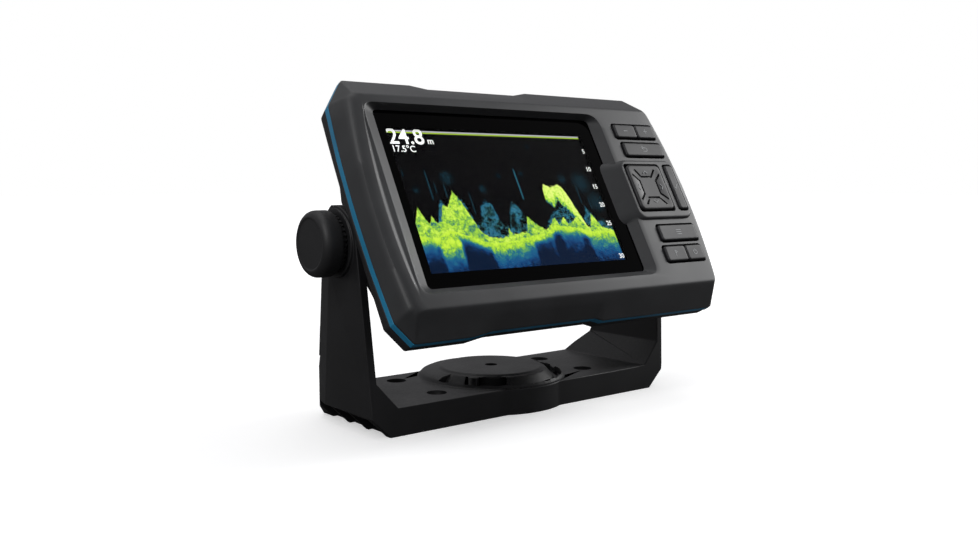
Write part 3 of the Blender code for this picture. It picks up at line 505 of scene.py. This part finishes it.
    picture = blend_colour(tree, haze, (0.0, 0.0, 0.0001, 1), (0.03, 0.19, 0.29, 1))
    picture = blend_colour(tree, fronds, picture, weed_colour)
    picture = blend_colour(tree, arch, picture, arch_colour)
    picture = blend_colour(tree, rock, picture, rock_colour)
    picture = blend_colour(tree, below, picture, ground)
    for low, high, colour in ((35.25, 35.8, (0.55, 0.53, 0.62, 1)), (34.55, 35.1, (0.42, 0.66, 0.04, 1))):
        inside = math_node(tree, "MULTIPLY", math_node(tree, "GREATER_THAN", v, low),
                           math_node(tree, "LESS_THAN", v, high))
        picture = blend_colour(tree, inside, picture, colour)
    for value, edge in ((u, LEFT_U), (v, LOW_V)):
        lit = math_node(tree, "GREATER_THAN", value, edge)
        picture = blend_colour(tree, lit, (0, 0, 0, 1), picture)
    for value, edge in ((u, LEFT_U + WIDE), (v, LOW_V + TALL)):
        lit = math_node(tree, "LESS_THAN", value, edge)
        picture = blend_colour(tree, lit, (0, 0, 0, 1), picture)
    front = math_node(tree, "GREATER_THAN", axes.outputs[2], FRONT_OF_PANEL - 0.1)
    picture = blend_colour(tree, front, (0, 0, 0, 1), picture)
    shader.inputs["Base Color"].default_value = (0.001, 0.001, 0.0012, 1)
    grain = put(tree, "TexNoise", {"Vector": place, "Scale": 4.0}).outputs[0]
    tree.links.new(spread(tree, grain, 0.0, 1.0, 0.25, 0.35), shader.inputs["Roughness"])
    tree.links.new(picture, shader.inputs["Emission Color"])
    shader.inputs["Emission Strength"].default_value = 1.0
    shader.inputs["Specular IOR Level"].default_value = 0.0
    return mat


def plain(name, colour, change, roughness, glow=0.0):
    """Even finish with a slight mottle, for small parts and print."""
    mat = bpy.data.materials.new(name)
    mat.use_nodes = True
    tree = mat.node_tree
    shader = tree.nodes["Principled BSDF"]
    place = put(tree, "TexCoord").outputs["Object"]
    mottle = put(tree, "TexNoise", {"Vector": place, "Scale": 900.0, "Detail": 3.0}).outputs[0]
    darker = (*[c * (1.0 - change) for c in colour], 1)
    mixed = blend_colour(tree, spread(tree, mottle, 0.3, 0.7), darker, (*colour, 1))
    tree.links.new(mixed, shader.inputs["Base Color"])
    tree.links.new(spread(tree, mottle, 0.0, 1.0, roughness - 0.05, roughness + 0.05),
                   shader.inputs["Roughness"])
    if glow:
        tree.links.new(mixed, shader.inputs["Emission Color"])
        shader.inputs["Emission Strength"].default_value = glow
    return mat


def lettering(name, words, size, u, v, w, material, boldness=0.0):
    """Flat lettering, left edge and foot line at a point of the display."""
    curve = bpy.data.curves.new(name, "FONT")
    curve.body = words
    curve.size = size
    curve.offset = boldness
    curve.fill_mode = "FRONT"
    text = bpy.data.objects.new(name, curve)
    bpy.context.scene.collection.objects.link(text)
    shape = bpy.data.meshes.new_from_object(text.evaluated_get(bpy.context.evaluated_depsgraph_get()))
    bm = bmesh.new()
    bm.from_mesh(shape)
    bpy.data.objects.remove(text)
    bmesh.ops.remove_doubles(bm, verts=bm.verts, dist=1e-4)
    thick = bmesh.ops.extrude_face_region(bm, geom=bm.faces[:])["geom"]
    bmesh.ops.translate(bm, vec=(0, 0, 0.03), verts=[g for g in thick if isinstance(g, bmesh.types.BMVert)])
    return settle(name, bm, material, at(u, v, w))


sonar_picture = make_sonar_picture()
light_guide = plain("light_guide_white", (0.80, 0.80, 0.80), 0.05, 0.40)
for node, finish in (("lcd_panel", sonar_picture), ("lcd_backlight", light_guide)):
    frame["nodes"][node].data.materials.clear()
    frame["nodes"][node].data.materials.append(finish)

screen_white = plain("screen_white", (0.80, 0.82, 0.80), 0.04, 0.5, glow=1.0)
READINGS = [("depth_reading", "24.8", 10.4, -70.6, 29.4, 0.10), ("depth_unit", "m", 4.2, -51.6, 29.6, 0.06),
            ("water_reading", "17.5°C", 4.2, -70.4, 25.6, 0.04)]
SCALE_MARKS = [("5", 26.7), ("10", 17.1), ("15", 7.9), ("20", -1.6), ("25", -11.2), ("30", -27.9)]
for name, words, size, u, v, boldness in READINGS:
    piece = lettering(name, words, size, u, v, FRONT_OF_PANEL + PRINT_LIFT, screen_white, boldness)
    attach(piece, "display")
for words, v in SCALE_MARKS:
    piece = lettering("depth_mark_" + words, words, 3.2, 38.2 - 2.0 * len(words), v,
                      FRONT_OF_PANEL + PRINT_LIFT, screen_white, 0.05)
    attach(piece, "display")

# ---- seal and trim band -------------------------------------------------------------
# A rubber cord seals the housing to the bezel.  Outside it a thin blue moulded band
# shows all round the edge of the display.

BAND_EDGE = 0.25
accent_blue = moulded("accent_blue", (0.016, 0.24, 0.44), 0.42, pebbles=5.0, depth=0.01, rub=0.1, dust=0.03)
band = settle("blue_band", softened("accent_band", BAND_EDGE, 2), accent_blue)
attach(band, "display")
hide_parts("accent_band")

seal_rubber = moulded("seal_rubber", (0.013, 0.013, 0.013), 0.72, pebbles=6.0, rub=0.0, dust=0.0)
key_rubber = moulded("key_rubber", (0.015, 0.015, 0.017), 0.52, pebbles=5.0, depth=0.012, rub=0.3, dust=0.08)
for node, finish in (("housing_seal", seal_rubber), ("keypad_mat", key_rubber),
                     ("direction_pad_post", key_rubber)):
    frame["nodes"][node].data.materials.clear()
    frame["nodes"][node].data.materials.append(finish)

# ---- display window -----------------------------------------------------------------
# Clear hardened glass bonded behind the bezel.  A black border is printed on its back,
# so that only the lit part of the screen shows.

window_glass = bpy.data.materials.new("window_glass")
window_glass.use_nodes = True
tree = window_glass.node_tree
shader = tree.nodes["Principled BSDF"]
axes = put(tree, "SeparateXYZ", {0: on_display(tree)})
GLASS_EDGE = 0.15
BORDER_GAP = 0.4            # the printed border stops this far outside the picture
wide = math_node(tree, "ABSOLUTE", math_node(tree, "SUBTRACT", axes.outputs[0], LEFT_U + WIDE / 2))
tall = math_node(tree, "ABSOLUTE", math_node(tree, "SUBTRACT", axes.outputs[1], LOW_V + TALL / 2))
clear = math_node(tree, "MULTIPLY", math_node(tree, "LESS_THAN", wide, WIDE / 2 + BORDER_GAP),
                  math_node(tree, "LESS_THAN", tall, TALL / 2 + BORDER_GAP))
tree.links.new(blend_colour(tree, clear, (0.0, 0.0, 0.0, 1), (1, 1, 1, 1)), shader.inputs["Base Color"])
smear = put(tree, "TexNoise", {"Vector": put(tree, "TexCoord").outputs["Object"],
                               "Scale": 60.0, "Detail": 5.0})
tree.links.new(spread(tree, smear.outputs[0], 0.3, 0.8, 0.02, 0.07), shader.inputs["Roughness"])
shader.inputs["Transmission Weight"].default_value = 1.0
shader.inputs["IOR"].default_value = 1.16
window = settle("window_pane", softened("display_window", GLASS_EDGE, 2), window_glass)
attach(window, "display")
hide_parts("display_window")

# ---- front bezel --------------------------------------------------------------------
# One moulding in satin charcoal plastic: a faceted rim with a rolled left edge, sloping
# walls down to the glass, a raised island for the direction pad and wells for the keys.

FACE_W = 35.1
ISLAND_W = 36.3
PLATE_W = 31.4
BEZEL_BACK = 26.2
RIM = dict(side=(93.6, 2.0, 520.0), top=60.3, bottom=-55.3, cut_top=(9.0, 12.2), cut_bottom=(6.0, 9.0))
FACE = dict(side=(91.0, -2.0, 235.0), top=49.7, bottom=-45.8, cut_top=(1.6, 2.2), cut_bottom=(1.6, 2.2))
GRIP_TOP = (-49.0, -40.0, 8.6, 16.0)        # ends of the shallow finger recess in the top
GRIP_BOTTOM = (-57.5, -47.5, 9.0, 13.0)
KEY_WELLS = [(57.0, 84.3, 32.6, 39.8), (58.7, 85.4, 22.4, 29.6), (60.0, 85.6, -23.2, -15.2),
             (58.5, 84.6, -33.9, -26.2)]
ISLAND_WELLS = [(80.2, 85.6, -7.3, 16.5), (53.2, 76.2, -7.3, 16.6)]
KEY_GAP = 0.75              # clearance round each key in its well


def loft(bm, rings, fill=True):
    """Extrude a closed ring of points through matching rings, with flat ends."""
    verts = [bm.verts.new(point) for point in rings[0]]
    edges = [bm.edges.new(pair) for pair in zip(verts, verts[1:] + verts[:1])]
    ends = [list(edges)]
    for ring in rings[1:]:
        before = {vert: number for number, vert in enumerate(verts)}
        made = bmesh.ops.extrude_edge_only(bm, edges=edges)["geom"]
        fresh = [g for g in made if isinstance(g, bmesh.types.BMVert)]
        verts = [None] * len(ring)
        for vert in fresh:
            root = next(e.other_vert(vert) for e in vert.link_edges if e.other_vert(vert) in before)
            verts[before[root]] = vert
        for vert, point in zip(verts, ring):
            vert.co = point
        kept = set(verts)
        edges = [g for g in made if isinstance(g, bmesh.types.BMEdge) and set(g.verts) <= kept]
    ends.append(edges)
    if fill:
        for end in ends:
            bmesh.ops.contextual_create(bm, geom=end)
    return bm


def bent(before, corner, after, steps=4):
    """Points round a soft corner."""
    a, b, c = Vector(before), Vector(corner), Vector(after)
    turns = [i / steps for i in range(steps + 1)]
    return [tuple((1 - t) ** 2 * a + 2 * t * (1 - t) * b + t * t * c) for t in turns]


def half_width(side, v):
    """Half width of the bowed sides at a height."""
    widest, middle, radius = side
    return widest - (v - middle) ** 2 / (2.0 * radius)


def line(start, end, steps):
    """Even points between two, both ends left out."""
    a, b = Vector(start), Vector(end)
    return [tuple(a.lerp(b, i / steps)) for i in range(1, steps)]


def rim_ring(w, shape, dip=0.0, inset=0.0, soft=1.1):
    """Outline of the display, clockwise from the top left, with soft corners."""
    side = (shape["side"][0] - inset, *shape["side"][1:])
    top, bottom = shape["top"] - inset, shape["bottom"] + inset
    high, low = top - shape["cut_top"][1], bottom + shape["cut_bottom"][1]
    top_u = half_width(side, high) - shape["cut_top"][0]
    bottom_u = half_width(side, low) - shape["cut_bottom"][0]
    dips = (0.0, dip, dip, 0.0)
    crest = [(-top_u, top)] + [(u, top - d) for u, d in zip(GRIP_TOP, dips)] + [(top_u, top)]
    keel = [(bottom_u, bottom)] + [(u, bottom + d) for u, d in zip(GRIP_BOTTOM[::-1], dips)]
    keel.append((-bottom_u, bottom))
    right = [(half_width(side, v), v) for v in [high + (low - high) * i / 32 for i in range(33)]]
    left = [(-u, v) for u, v in right[::-1]]
    points = []
    for path, counts in ((crest, (10, 4, 20, 4, 26)), (right, (1,) * 32), (keel, (24, 3, 20, 4, 10)),
                         (left, (1,) * 32)):
        for (a, b), count in zip(zip(path, path[1:]), counts):
            points += [a] + line(a, b, count)
        points.append(path[-1])
    marks = [path[i] for path in (crest, right, keel, left) for i in (0, -1)]
    result = []
    count = len(points)
    for i, point in enumerate(points):
        if point not in marks:
            result.append(point)
            continue
        here = Vector(point)
        ends = []
        for step in (-1, 1):
            aim = Vector(points[(i + step) % count]) - here
            ends.append(tuple(here + aim.normalized() * min(soft, 0.45 * aim.length)))
        result += bent(ends[0], point, ends[1])
    return [(u, v, w) for u, v in result]


def opening_ring(w, left, right, bottom, top, corner, soft):
    """Outline of the screen opening, matching rim_ring point for point."""
    r = soft
    path = [((left + r, top), (right - corner, top), 64), ((right, top - corner), (right, bottom + r), 32),
            ((right - r, bottom), (left + r, bottom), 61), ((left, bottom + r), (left, top - r), 32)]
    points = []
    for number, (start, end, count) in enumerate(path):
        points += [start] + line(start, end, count) + [end]
        after = path[(number + 1) % 4][0]
        aim = (after[0], end[1]) if number % 2 == 0 else (end[0], after[1])
        bow = bent(end, aim, after, 9)
        points += bow[1:-1]
    return [(u, v, w) for u, v in points]


def part_way(first, second, share, w=None):
    """Ring between two matching rings, at its own depth if one is given."""
    mixed = [Vector(a).lerp(Vector(b), share) for a, b in zip(first, second)]
    return [(p.x, p.y, p.z if w is None else w) for p in mixed]


def pulled_in(ring, amount, sink=0.0):
    """Ring with its left side moved right, and sunk where the side runs straight."""
    result = []
    for u, v, w in ring:
        side = min(max((-u - 78.0) / 4.0, 0.0), 1.0)
        run = min(max((44.0 - v) / 7.0, 0.0), 1.0) * min(max((v + 38.0) / 7.0, 0.0), 1.0)
        result.append((u + amount * side, v, w - sink * side * run))
    return result


def rounded_ring(w, box, radius, steps=5):
    """Rectangle with round corners at one depth."""
    left, right, bottom, top = box
    corners = ((right - radius, top - radius, 0), (left + radius, top - radius, 90),
               (left + radius, bottom + radius, 180), (right - radius, bottom + radius, 270))
    points = []
    for x, y, start in corners:
        for i in range(steps + 1):
            angle = radians(start + 90.0 * i / steps)
            points.append((x + radius * cos(angle), y + radius * sin(angle), w))
    return points


def grown(box, amount):
    """Box with its four sides moved out."""
    return box[0] - amount, box[1] + amount, box[2] - amount, box[3] + amount


def carved(bm, steps):
    """Join and cut a bmesh with others, in order, and return the result."""
    made = []
    for number, (operation, shape) in enumerate([("", bm)] + steps):
        bmesh.ops.recalc_face_normals(shape, faces=shape.faces)
        mesh = bpy.data.meshes.new("carving_%d" % number)
        shape.to_mesh(mesh)
        shape.free()
        made.append(bpy.data.objects.new(mesh.name, mesh))
        bpy.context.scene.collection.objects.link(made[-1])
        if number:
            mod = made[0].modifiers.new(mesh.name, "BOOLEAN")
            mod.operation = operation
            mod.solver = "EXACT"
            mod.object = made[-1]
    result = bmesh.new()
    result.from_mesh(made[0].evaluated_get(bpy.context.evaluated_depsgraph_get()).to_mesh())
    for tool in made:
        bpy.data.objects.remove(tool)
    return result


rim = rim_ring(BEZEL_BACK, RIM, 1.5)
rim_front = rim_ring(BEZEL_BACK + 0.8, RIM, 1.5)
rim_even = rim_ring(BEZEL_BACK + 0.8, RIM)
face = rim_ring(34.7, FACE)
opening = opening_ring(FACE_W, -81.3, 49.5, -39.2, 45.4, 8.0, 5.0)
sill = opening_ring(PLATE_W + 0.2, -75.5, 45.0, -36.0, 44.0, 3.0, 2.5)
hollow = opening_ring(PLATE_W, -86.0, 86.0, -44.6, 49.6, 10.0, 10.0)
opening, sill, hollow = [ring[-3:] + ring[:-3] for ring in (opening, sill, hollow)]
crest = pulled_in(rim_ring(FACE_W, FACE, inset=1.3), 3.5)
rings = [rim, rim_front, part_way(rim_even, face, 0.60), part_way(rim_even, face, 0.80),
         pulled_in(part_way(rim_even, face, 0.955), 0.5),
         pulled_in(rim_ring(34.85, FACE, inset=0.3), 1.6),
         pulled_in(rim_ring(35.04, FACE, inset=0.75), 2.4), crest,
         pulled_in(part_way(crest, opening, 0.16), 0.0, 0.12),
         pulled_in(part_way(crest, opening, 0.34), 0.0, 0.55),
         pulled_in(part_way(crest, opening, 0.48), 0.0, 0.75),
         pulled_in(part_way(crest, opening, 0.60), 0.0, 0.70),
         pulled_in(part_way(crest, opening, 0.93), 0.0, 0.60),
         pulled_in(part_way(opening, sill, 0.02, 35.0), 0.0, 0.62),
         pulled_in(part_way(opening, sill, 0.08), 0.0, 0.58),
         sill, [(u, v, PLATE_W) for u, v, w in sill], hollow,
         [(u, v, BEZEL_BACK) for u, v, w in hollow], rim]
moulding = loft(bmesh.new(), rings, fill=False)
bmesh.ops.remove_doubles(moulding, verts=moulding.verts, dist=1e-4)

island = loft(bmesh.new(), [rounded_ring(31.2, (41.6, 88.0, -12.4, 20.6), 5.0),
                            rounded_ring(35.3, (48.9, 88.2, -11.7, 19.9), 5.0),
                            rounded_ring(35.9, (50.0, 88.1, -11.4, 19.6), 5.0),
                            rounded_ring(36.2, (50.7, 87.7, -11.0, 19.2), 4.7),
                            rounded_ring(ISLAND_W, (51.4, 87.2, -10.4, 18.6), 4.2)])
wells = bmesh.new()
for boxes, top in ((KEY_WELLS, FACE_W), (ISLAND_WELLS, ISLAND_W)):
    for box in boxes:
        loft(wells, [rounded_ring(30.9, grown(box, KEY_GAP), 1.6),
                     rounded_ring(top - 0.45, grown(box, KEY_GAP), 1.6),
                     rounded_ring(top - 0.1, grown(box, KEY_GAP + 0.1), 1.7),
                     rounded_ring(top + 0.12, grown(box, KEY_GAP + 0.4), 2.0),
                     rounded_ring(top + 1.5, grown(box, KEY_GAP + 0.4), 2.0)])
case_plastic = moulded("case_plastic", (0.030, 0.031, 0.033), 0.46,
                       pebbles=4.0, depth=0.012, rub=0.25, dust=0.06)
bezel = settle("bezel_moulding", carved(moulding, [("UNION", island), ("DIFFERENCE", wells)]), case_plastic,
               ON_DISPLAY)
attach(bezel, "display")
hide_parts("front_bezel")

# ---- keys ---------------------------------------------------------------------------
# Seven silicone rubber keys with soft edges stand a millimetre out of their wells.  Each
# one carries its sign in pale grey ink.

KEYS = {"zoom_out_key": (57.0, 71.1, 32.6, 39.8, 1.0), "zoom_in_key": (71.7, 84.3, 32.6, 39.8, 1.0),
        "back_key": (58.7, 85.4, 22.4, 29.6, 1.0), "select_key": (80.2, 85.6, -7.3, 16.5, 2.0),
        "menu_key": (60.0, 85.6, -23.2, -15.2, 1.0), "marker_key": (58.5, 72.4, -33.9, -26.2, 1.0),
        "power_key": (73.0, 84.6, -33.9, -26.2, 1.0)}
KEY_FOOT, KEY_LEDGE = 29.4, 31.0    # depths between which a foot keeps each key in its well
ROUND_SIGN = [(1.15 * sin(radians(a)), 1.15 * cos(radians(a))) for a in range(35, 326, 29)]
SIGNS = {"zoom_out_key": [[(-1.1, 0.0), (1.1, 0.0)]],
         "zoom_in_key": [[(-1.1, 0.0), (1.1, 0.0)], [(0.0, -1.1), (0.0, 1.1)]],
         "back_key": [[(-1.6, 0.8), (1.3, 0.8), (1.9, 0.2), (1.9, -0.5), (1.3, -1.1), (-0.9, -1.1)],
                      [(-0.7, 1.6), (-1.6, 0.8), (-0.7, 0.0)]],
         "select_key": [[(-1.0, -0.2), (-0.3, -1.1), (1.0, 1.3)]],
         "menu_key": [[(-1.5, d), (1.5, d)] for d in (-1.1, 0.0, 1.1)],
         "marker_key": [[(-0.7, -1.5), (-0.7, 1.4), (0.9, 0.7), (-0.7, 0.1)]],
         "power_key": [ROUND_SIGN, [(0.0, 0.3), (0.0, 1.5)]]}


def sign(name, strokes, u, v, w, width=0.42):
    """Printed sign: a thin bar along each stroke with a round dot at each turn."""
    bm = bmesh.new()
    for stroke in strokes:
        for a, b in zip(stroke, stroke[1:]):
            way = Vector(b) - Vector(a)
            middle = (Vector(a) + Vector(b)) / 2
            shape = (Matrix.Translation((*middle, 0)) @ Matrix.Rotation(atan2(way.y, way.x), 4, "Z")
                     @ Matrix.Diagonal((way.length, width, 0.06, 1)))
            bmesh.ops.create_cube(bm, size=1.0, matrix=shape)
        for x, y in stroke:
            bmesh.ops.create_cone(bm, cap_ends=True, segments=10, radius1=width / 2, radius2=width / 2,
                                  depth=0.058, matrix=Matrix.Translation((x, y, 0)))
    return settle(name, bm, sign_ink, at(u, v, w))


sign_ink = plain("sign_ink", (0.30, 0.31, 0.32), 0.2, 0.55)
for name, (left, right, bottom, top, proud) in KEYS.items():
    u, v = (left + right) / 2, (bottom + top) / 2
    half = (left - u, right - u, bottom - v, top - v)
    foot = (half[0], half[1], half[2] - 0.9, half[3] + 0.9)
    crown = FACE_W + proud
    rings = [rounded_ring(KEY_FOOT, foot, 0.8), rounded_ring(KEY_LEDGE, foot, 0.8),
             rounded_ring(KEY_LEDGE, half, 1.2), rounded_ring(crown - 0.8, half, 1.2),
             rounded_ring(crown - 0.4, grown(half, -0.10), 1.15),
             rounded_ring(crown - 0.14, grown(half, -0.32), 1.0),
             rounded_ring(crown - 0.02, grown(half, -0.65), 0.8),
             rounded_ring(crown - 0.02, grown(half, -1.1), 0.5)]
    piece = settle(name + "_cap", loft(bmesh.new(), rings), key_rubber, at(u, v), sharp=50.0)
    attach(piece, name + "_cap")
    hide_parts(name)
    print_piece = sign(name + "_sign", SIGNS[name], u, v, crown)
    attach(print_piece, name + "_cap")

# ---- direction pad ------------------------------------------------------------------
# Square rubber rocker with a dished middle.  Four bent grooves mark off the four ways,
# and each way has a small arrow head.

PAD = (53.2, 76.2, -7.3, 16.6)
PAD_TOP = FACE_W + 2.0
u, v = (PAD[0] + PAD[1]) / 2, (PAD[2] + PAD[3]) / 2
half = (PAD[0] - u, PAD[1] - u, PAD[2] - v, PAD[3] - v)
rocker = loft(bmesh.new(), [rounded_ring(30.4, half, 2.6), rounded_ring(PAD_TOP - 1.0, half, 2.6),
                            rounded_ring(PAD_TOP - 0.45, grown(half, -0.15), 2.5),
                            rounded_ring(PAD_TOP - 0.12, grown(half, -0.5), 2.2),
                            rounded_ring(PAD_TOP, grown(half, -1.1), 1.8),
                            rounded_ring(PAD_TOP - 0.05, grown(half, -3.0), 1.6),
                            rounded_ring(PAD_TOP - 0.4, grown(half, -6.0), 1.6)])
grooves = bmesh.new()
for quarter in range(4):
    turn = Matrix.Rotation(quarter * pi / 2, 3, "Z")
    near = [(-7.4, 9.2), (-3.7, 5.0), (3.7, 5.0), (7.4, 9.2)]
    far = [(6.2, 9.6), (3.2, 6.1), (-3.2, 6.1), (-6.2, 9.6)]
    bent_bar = [turn @ Vector((x, y, 0)) for x, y in near + far]
    loft(grooves, [[(p.x, p.y, w) for p in bent_bar] for w in (PAD_TOP - 1.1, PAD_TOP + 1.0)])
pad = settle("direction_rocker", carved(rocker, [("DIFFERENCE", grooves)]), key_rubber, at(u, v), sharp=40.0)
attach(pad, "direction_pad_key")
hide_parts("direction_pad")
heads = []
for quarter in range(4):
    turn = Matrix.Rotation(quarter * pi / 2, 3, "Z")
    heads.append([tuple((turn @ Vector((x, y, 0)))[:2]) for x, y in ((-1.3, 7.4), (0.0, 8.5), (1.3, 7.4))])
arrows = sign("direction_signs", heads, u, v, PAD_TOP - 0.01)
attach(arrows, "direction_pad_key")

# ---- housing screws -----------------------------------------------------------------
# Six stainless pan head screws with a hexagon socket run through the housing's flange
# into the bezel.


def screw_ring(radius, w, hexagon=False):
    """Round or six sided ring of one size."""
    points = []
    for step in range(36):
        angle = 2 * pi * step / 36
        reach = radius / cos((angle % (pi / 3)) - pi / 6) if hexagon else radius
        points.append((reach * cos(angle), reach * sin(angle), w))
    return points


stainless = metal("stainless_steel", (0.56, 0.56, 0.57), 0.30, tarnish=(0.30, 0.28, 0.26))
screw_places = [(u, v) for v in (-49.8, 54.7) for u in (-70.0, 0.0, 70.0)]
for number, (u, v) in enumerate(screw_places, 1):
    rings = [screw_ring(1.4, 28.6), screw_ring(1.4, 20.3), screw_ring(2.5, 20.3), screw_ring(2.5, 19.2),
             screw_ring(2.3, 18.7), screw_ring(1.9, 18.4), screw_ring(1.2, 18.4, True),
             screw_ring(1.15, 19.6, True)]
    piece = settle("screw_%d" % number, loft(bmesh.new(), rings), stainless, at(u, v))
    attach(piece, "display")
    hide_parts("housing_screw_%d" % number)

# ---- clamp knobs --------------------------------------------------------------------
# Two round knobs moulded on threaded steel studs clamp the arms to the display.  A ring
# of teeth behind each knob bites on the arm.

KNOB_SIDES = 96
TEETH = 36
TOOTH_RING = [(8.1, 91.1), (11.3, 91.1), (11.6, 91.4), (11.6, 92.5), (11.3, 92.8), (8.1, 92.8), (8.1, 91.1)]
knob_rubber = moulded("knob_rubber", (0.0125, 0.0125, 0.0135), 0.50, pebbles=4.0, depth=0.02, rub=0.5)
for side, way in SIDES:
    shape = [(0.0, 98.4), (3.4, 98.4), (3.4, 91.0), (7.7, 91.0), (8.0, 91.2), (8.0, 92.9), (12.6, 93.0),
             (13.2, 93.3), (13.5, 94.0), (13.5, 97.9), (13.4, 99.0), (13.0, 100.0), (12.3, 100.8),
             (11.5, 101.3), (10.8, 101.4), (10.5, 101.35), (10.2, 101.15), (9.9, 101.05), (0.0, 101.1)]
    bm = turned(bmesh.new(), shape, KNOB_SIDES)
    turned(bm, TOOTH_RING, KNOB_SIDES)
    for step in range(TEETH):
        tooth = (Matrix.Rotation(2 * pi * step / TEETH, 4, "Z") @ Matrix.Translation((11.7, 0, 91.95))
                 @ Matrix.Diagonal((0.7, 1.0, 1.5, 1.0)))
        bmesh.ops.create_cube(bm, size=1.0, matrix=tooth)
    knob = settle(side + "_knob_grip", bm, knob_rubber, across(way))
    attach(knob, side + "_clamp_knob")
    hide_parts(side + "_knob")

    thread = [(0.0, 74.0), (2.3, 74.0), (2.75, 74.5)]
    for turn in range(18):
        thread += [(3.0, 74.75 + 0.5 * turn), (2.72, 75.0 + 0.5 * turn)]
    thread += [(3.0, 84.0), (3.0, 98.2), (0.0, 98.2)]
    stud = settle(side + "_stud", turned(bmesh.new(), thread, 40), stainless, across(way), sharp=60.0)
    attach(stud, side + "_clamp_knob")
    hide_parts(side + "_knob_stud")

# ---- stage --------------------------------------------------------------------------
# Plain pale floor, a white surround and soft studio lamps; none of it is the object.

FLOOR_REACH = 6.0
BRIGHTENS_FROM, WHITE_FROM = 0.25, 1.1  # distances from the object where the floor turns white
scene = bpy.context.scene
scene.view_settings.view_transform = "Standard"

floor_bm = bmesh.new()
bmesh.ops.create_grid(floor_bm, x_segments=1, y_segments=1, size=FLOOR_REACH)
floor_mesh = bpy.data.meshes.new("floor")
floor_bm.to_mesh(floor_mesh)
floor_bm.free()
floor = bpy.data.objects.new("floor", floor_mesh)
scene.collection.objects.link(floor)
floor_mat = bpy.data.materials.new("pale_floor")
floor_mat.use_nodes = True
floor_tree = floor_mat.node_tree
floor_shader = floor_tree.nodes["Principled BSDF"]
seen = put(floor_tree, "LightPath").outputs["Is Camera Ray"]
floor_tree.links.new(blend_colour(floor_tree, seen, (0.10, 0.10, 0.10, 1), (0.85, 0.85, 0.85, 1)),
                     floor_shader.inputs["Base Color"])
floor_shader.inputs["Roughness"].default_value = 0.9
floor_shader.inputs["Specular IOR Level"].default_value = 0.0
spot = put(floor_tree, "TexCoord").outputs["Object"]
far = put(floor_tree, "VectorMath", {0: spot}, operation="LENGTH").outputs["Value"]
near_grey, far_white = (0.46, 0.46, 0.46, 1), (1, 1, 1, 1)
distance = spread(floor_tree, far, BRIGHTENS_FROM, WHITE_FROM)
glow = blend_colour(floor_tree, distance, near_grey, far_white)
floor_tree.links.new(blend_colour(floor_tree, seen, (0, 0, 0, 1), glow),
                     floor_shader.inputs["Emission Color"])
floor_shader.inputs["Emission Strength"].default_value = 1.0
floor_mesh.materials.append(floor_mat)

world = bpy.data.worlds.new("studio")
scene.world = world
world.use_nodes = True
sky = world.node_tree
background = sky.nodes["Background"]
seen = put(sky, "LightPath").outputs["Is Camera Ray"]
sky.links.new(blend_colour(sky, seen, (0.31, 0.31, 0.32, 1), (1, 1, 1, 1)), background.inputs["Color"])


def lamp(name, place, aim, size, power):
    """Rectangular soft light facing a point."""
    data = bpy.data.lights.new(name, "AREA")
    data.shape = "RECTANGLE"
    data.size, data.size_y = size
    data.energy = power
    obj = bpy.data.objects.new(name, data)
    obj.location = place
    obj.rotation_euler = (Vector(place) - Vector(aim)).to_track_quat("Z", "Y").to_euler()
    scene.collection.objects.link(obj)


lamp("right_softbox", (1.42, -0.28, 0.70), (0.0, 0.0, 0.08), (0.30, 0.60), 12)
lamp("top_softbox", (0.0, 0.25, 1.4), (0.0, 0.0, 0.05), (1.4, 1.0), 4.5)
lamp("left_softbox", (-1.0, -0.55, 0.86), (0.0, 0.0, 0.09), (0.22, 0.8), 5.5)

camera_data = bpy.data.cameras.new("camera")
camera_data.lens = 35.48
camera_data.shift_x = 0.0025
camera_data.clip_start = 0.01
camera = bpy.data.objects.new("camera", camera_data)
camera.location = (-0.2838, -0.3539, 0.1040)
camera.rotation_euler = (radians(90.0 - 5.65), 0.0, radians(-38.46))
scene.collection.objects.link(camera)
scene.camera = camera
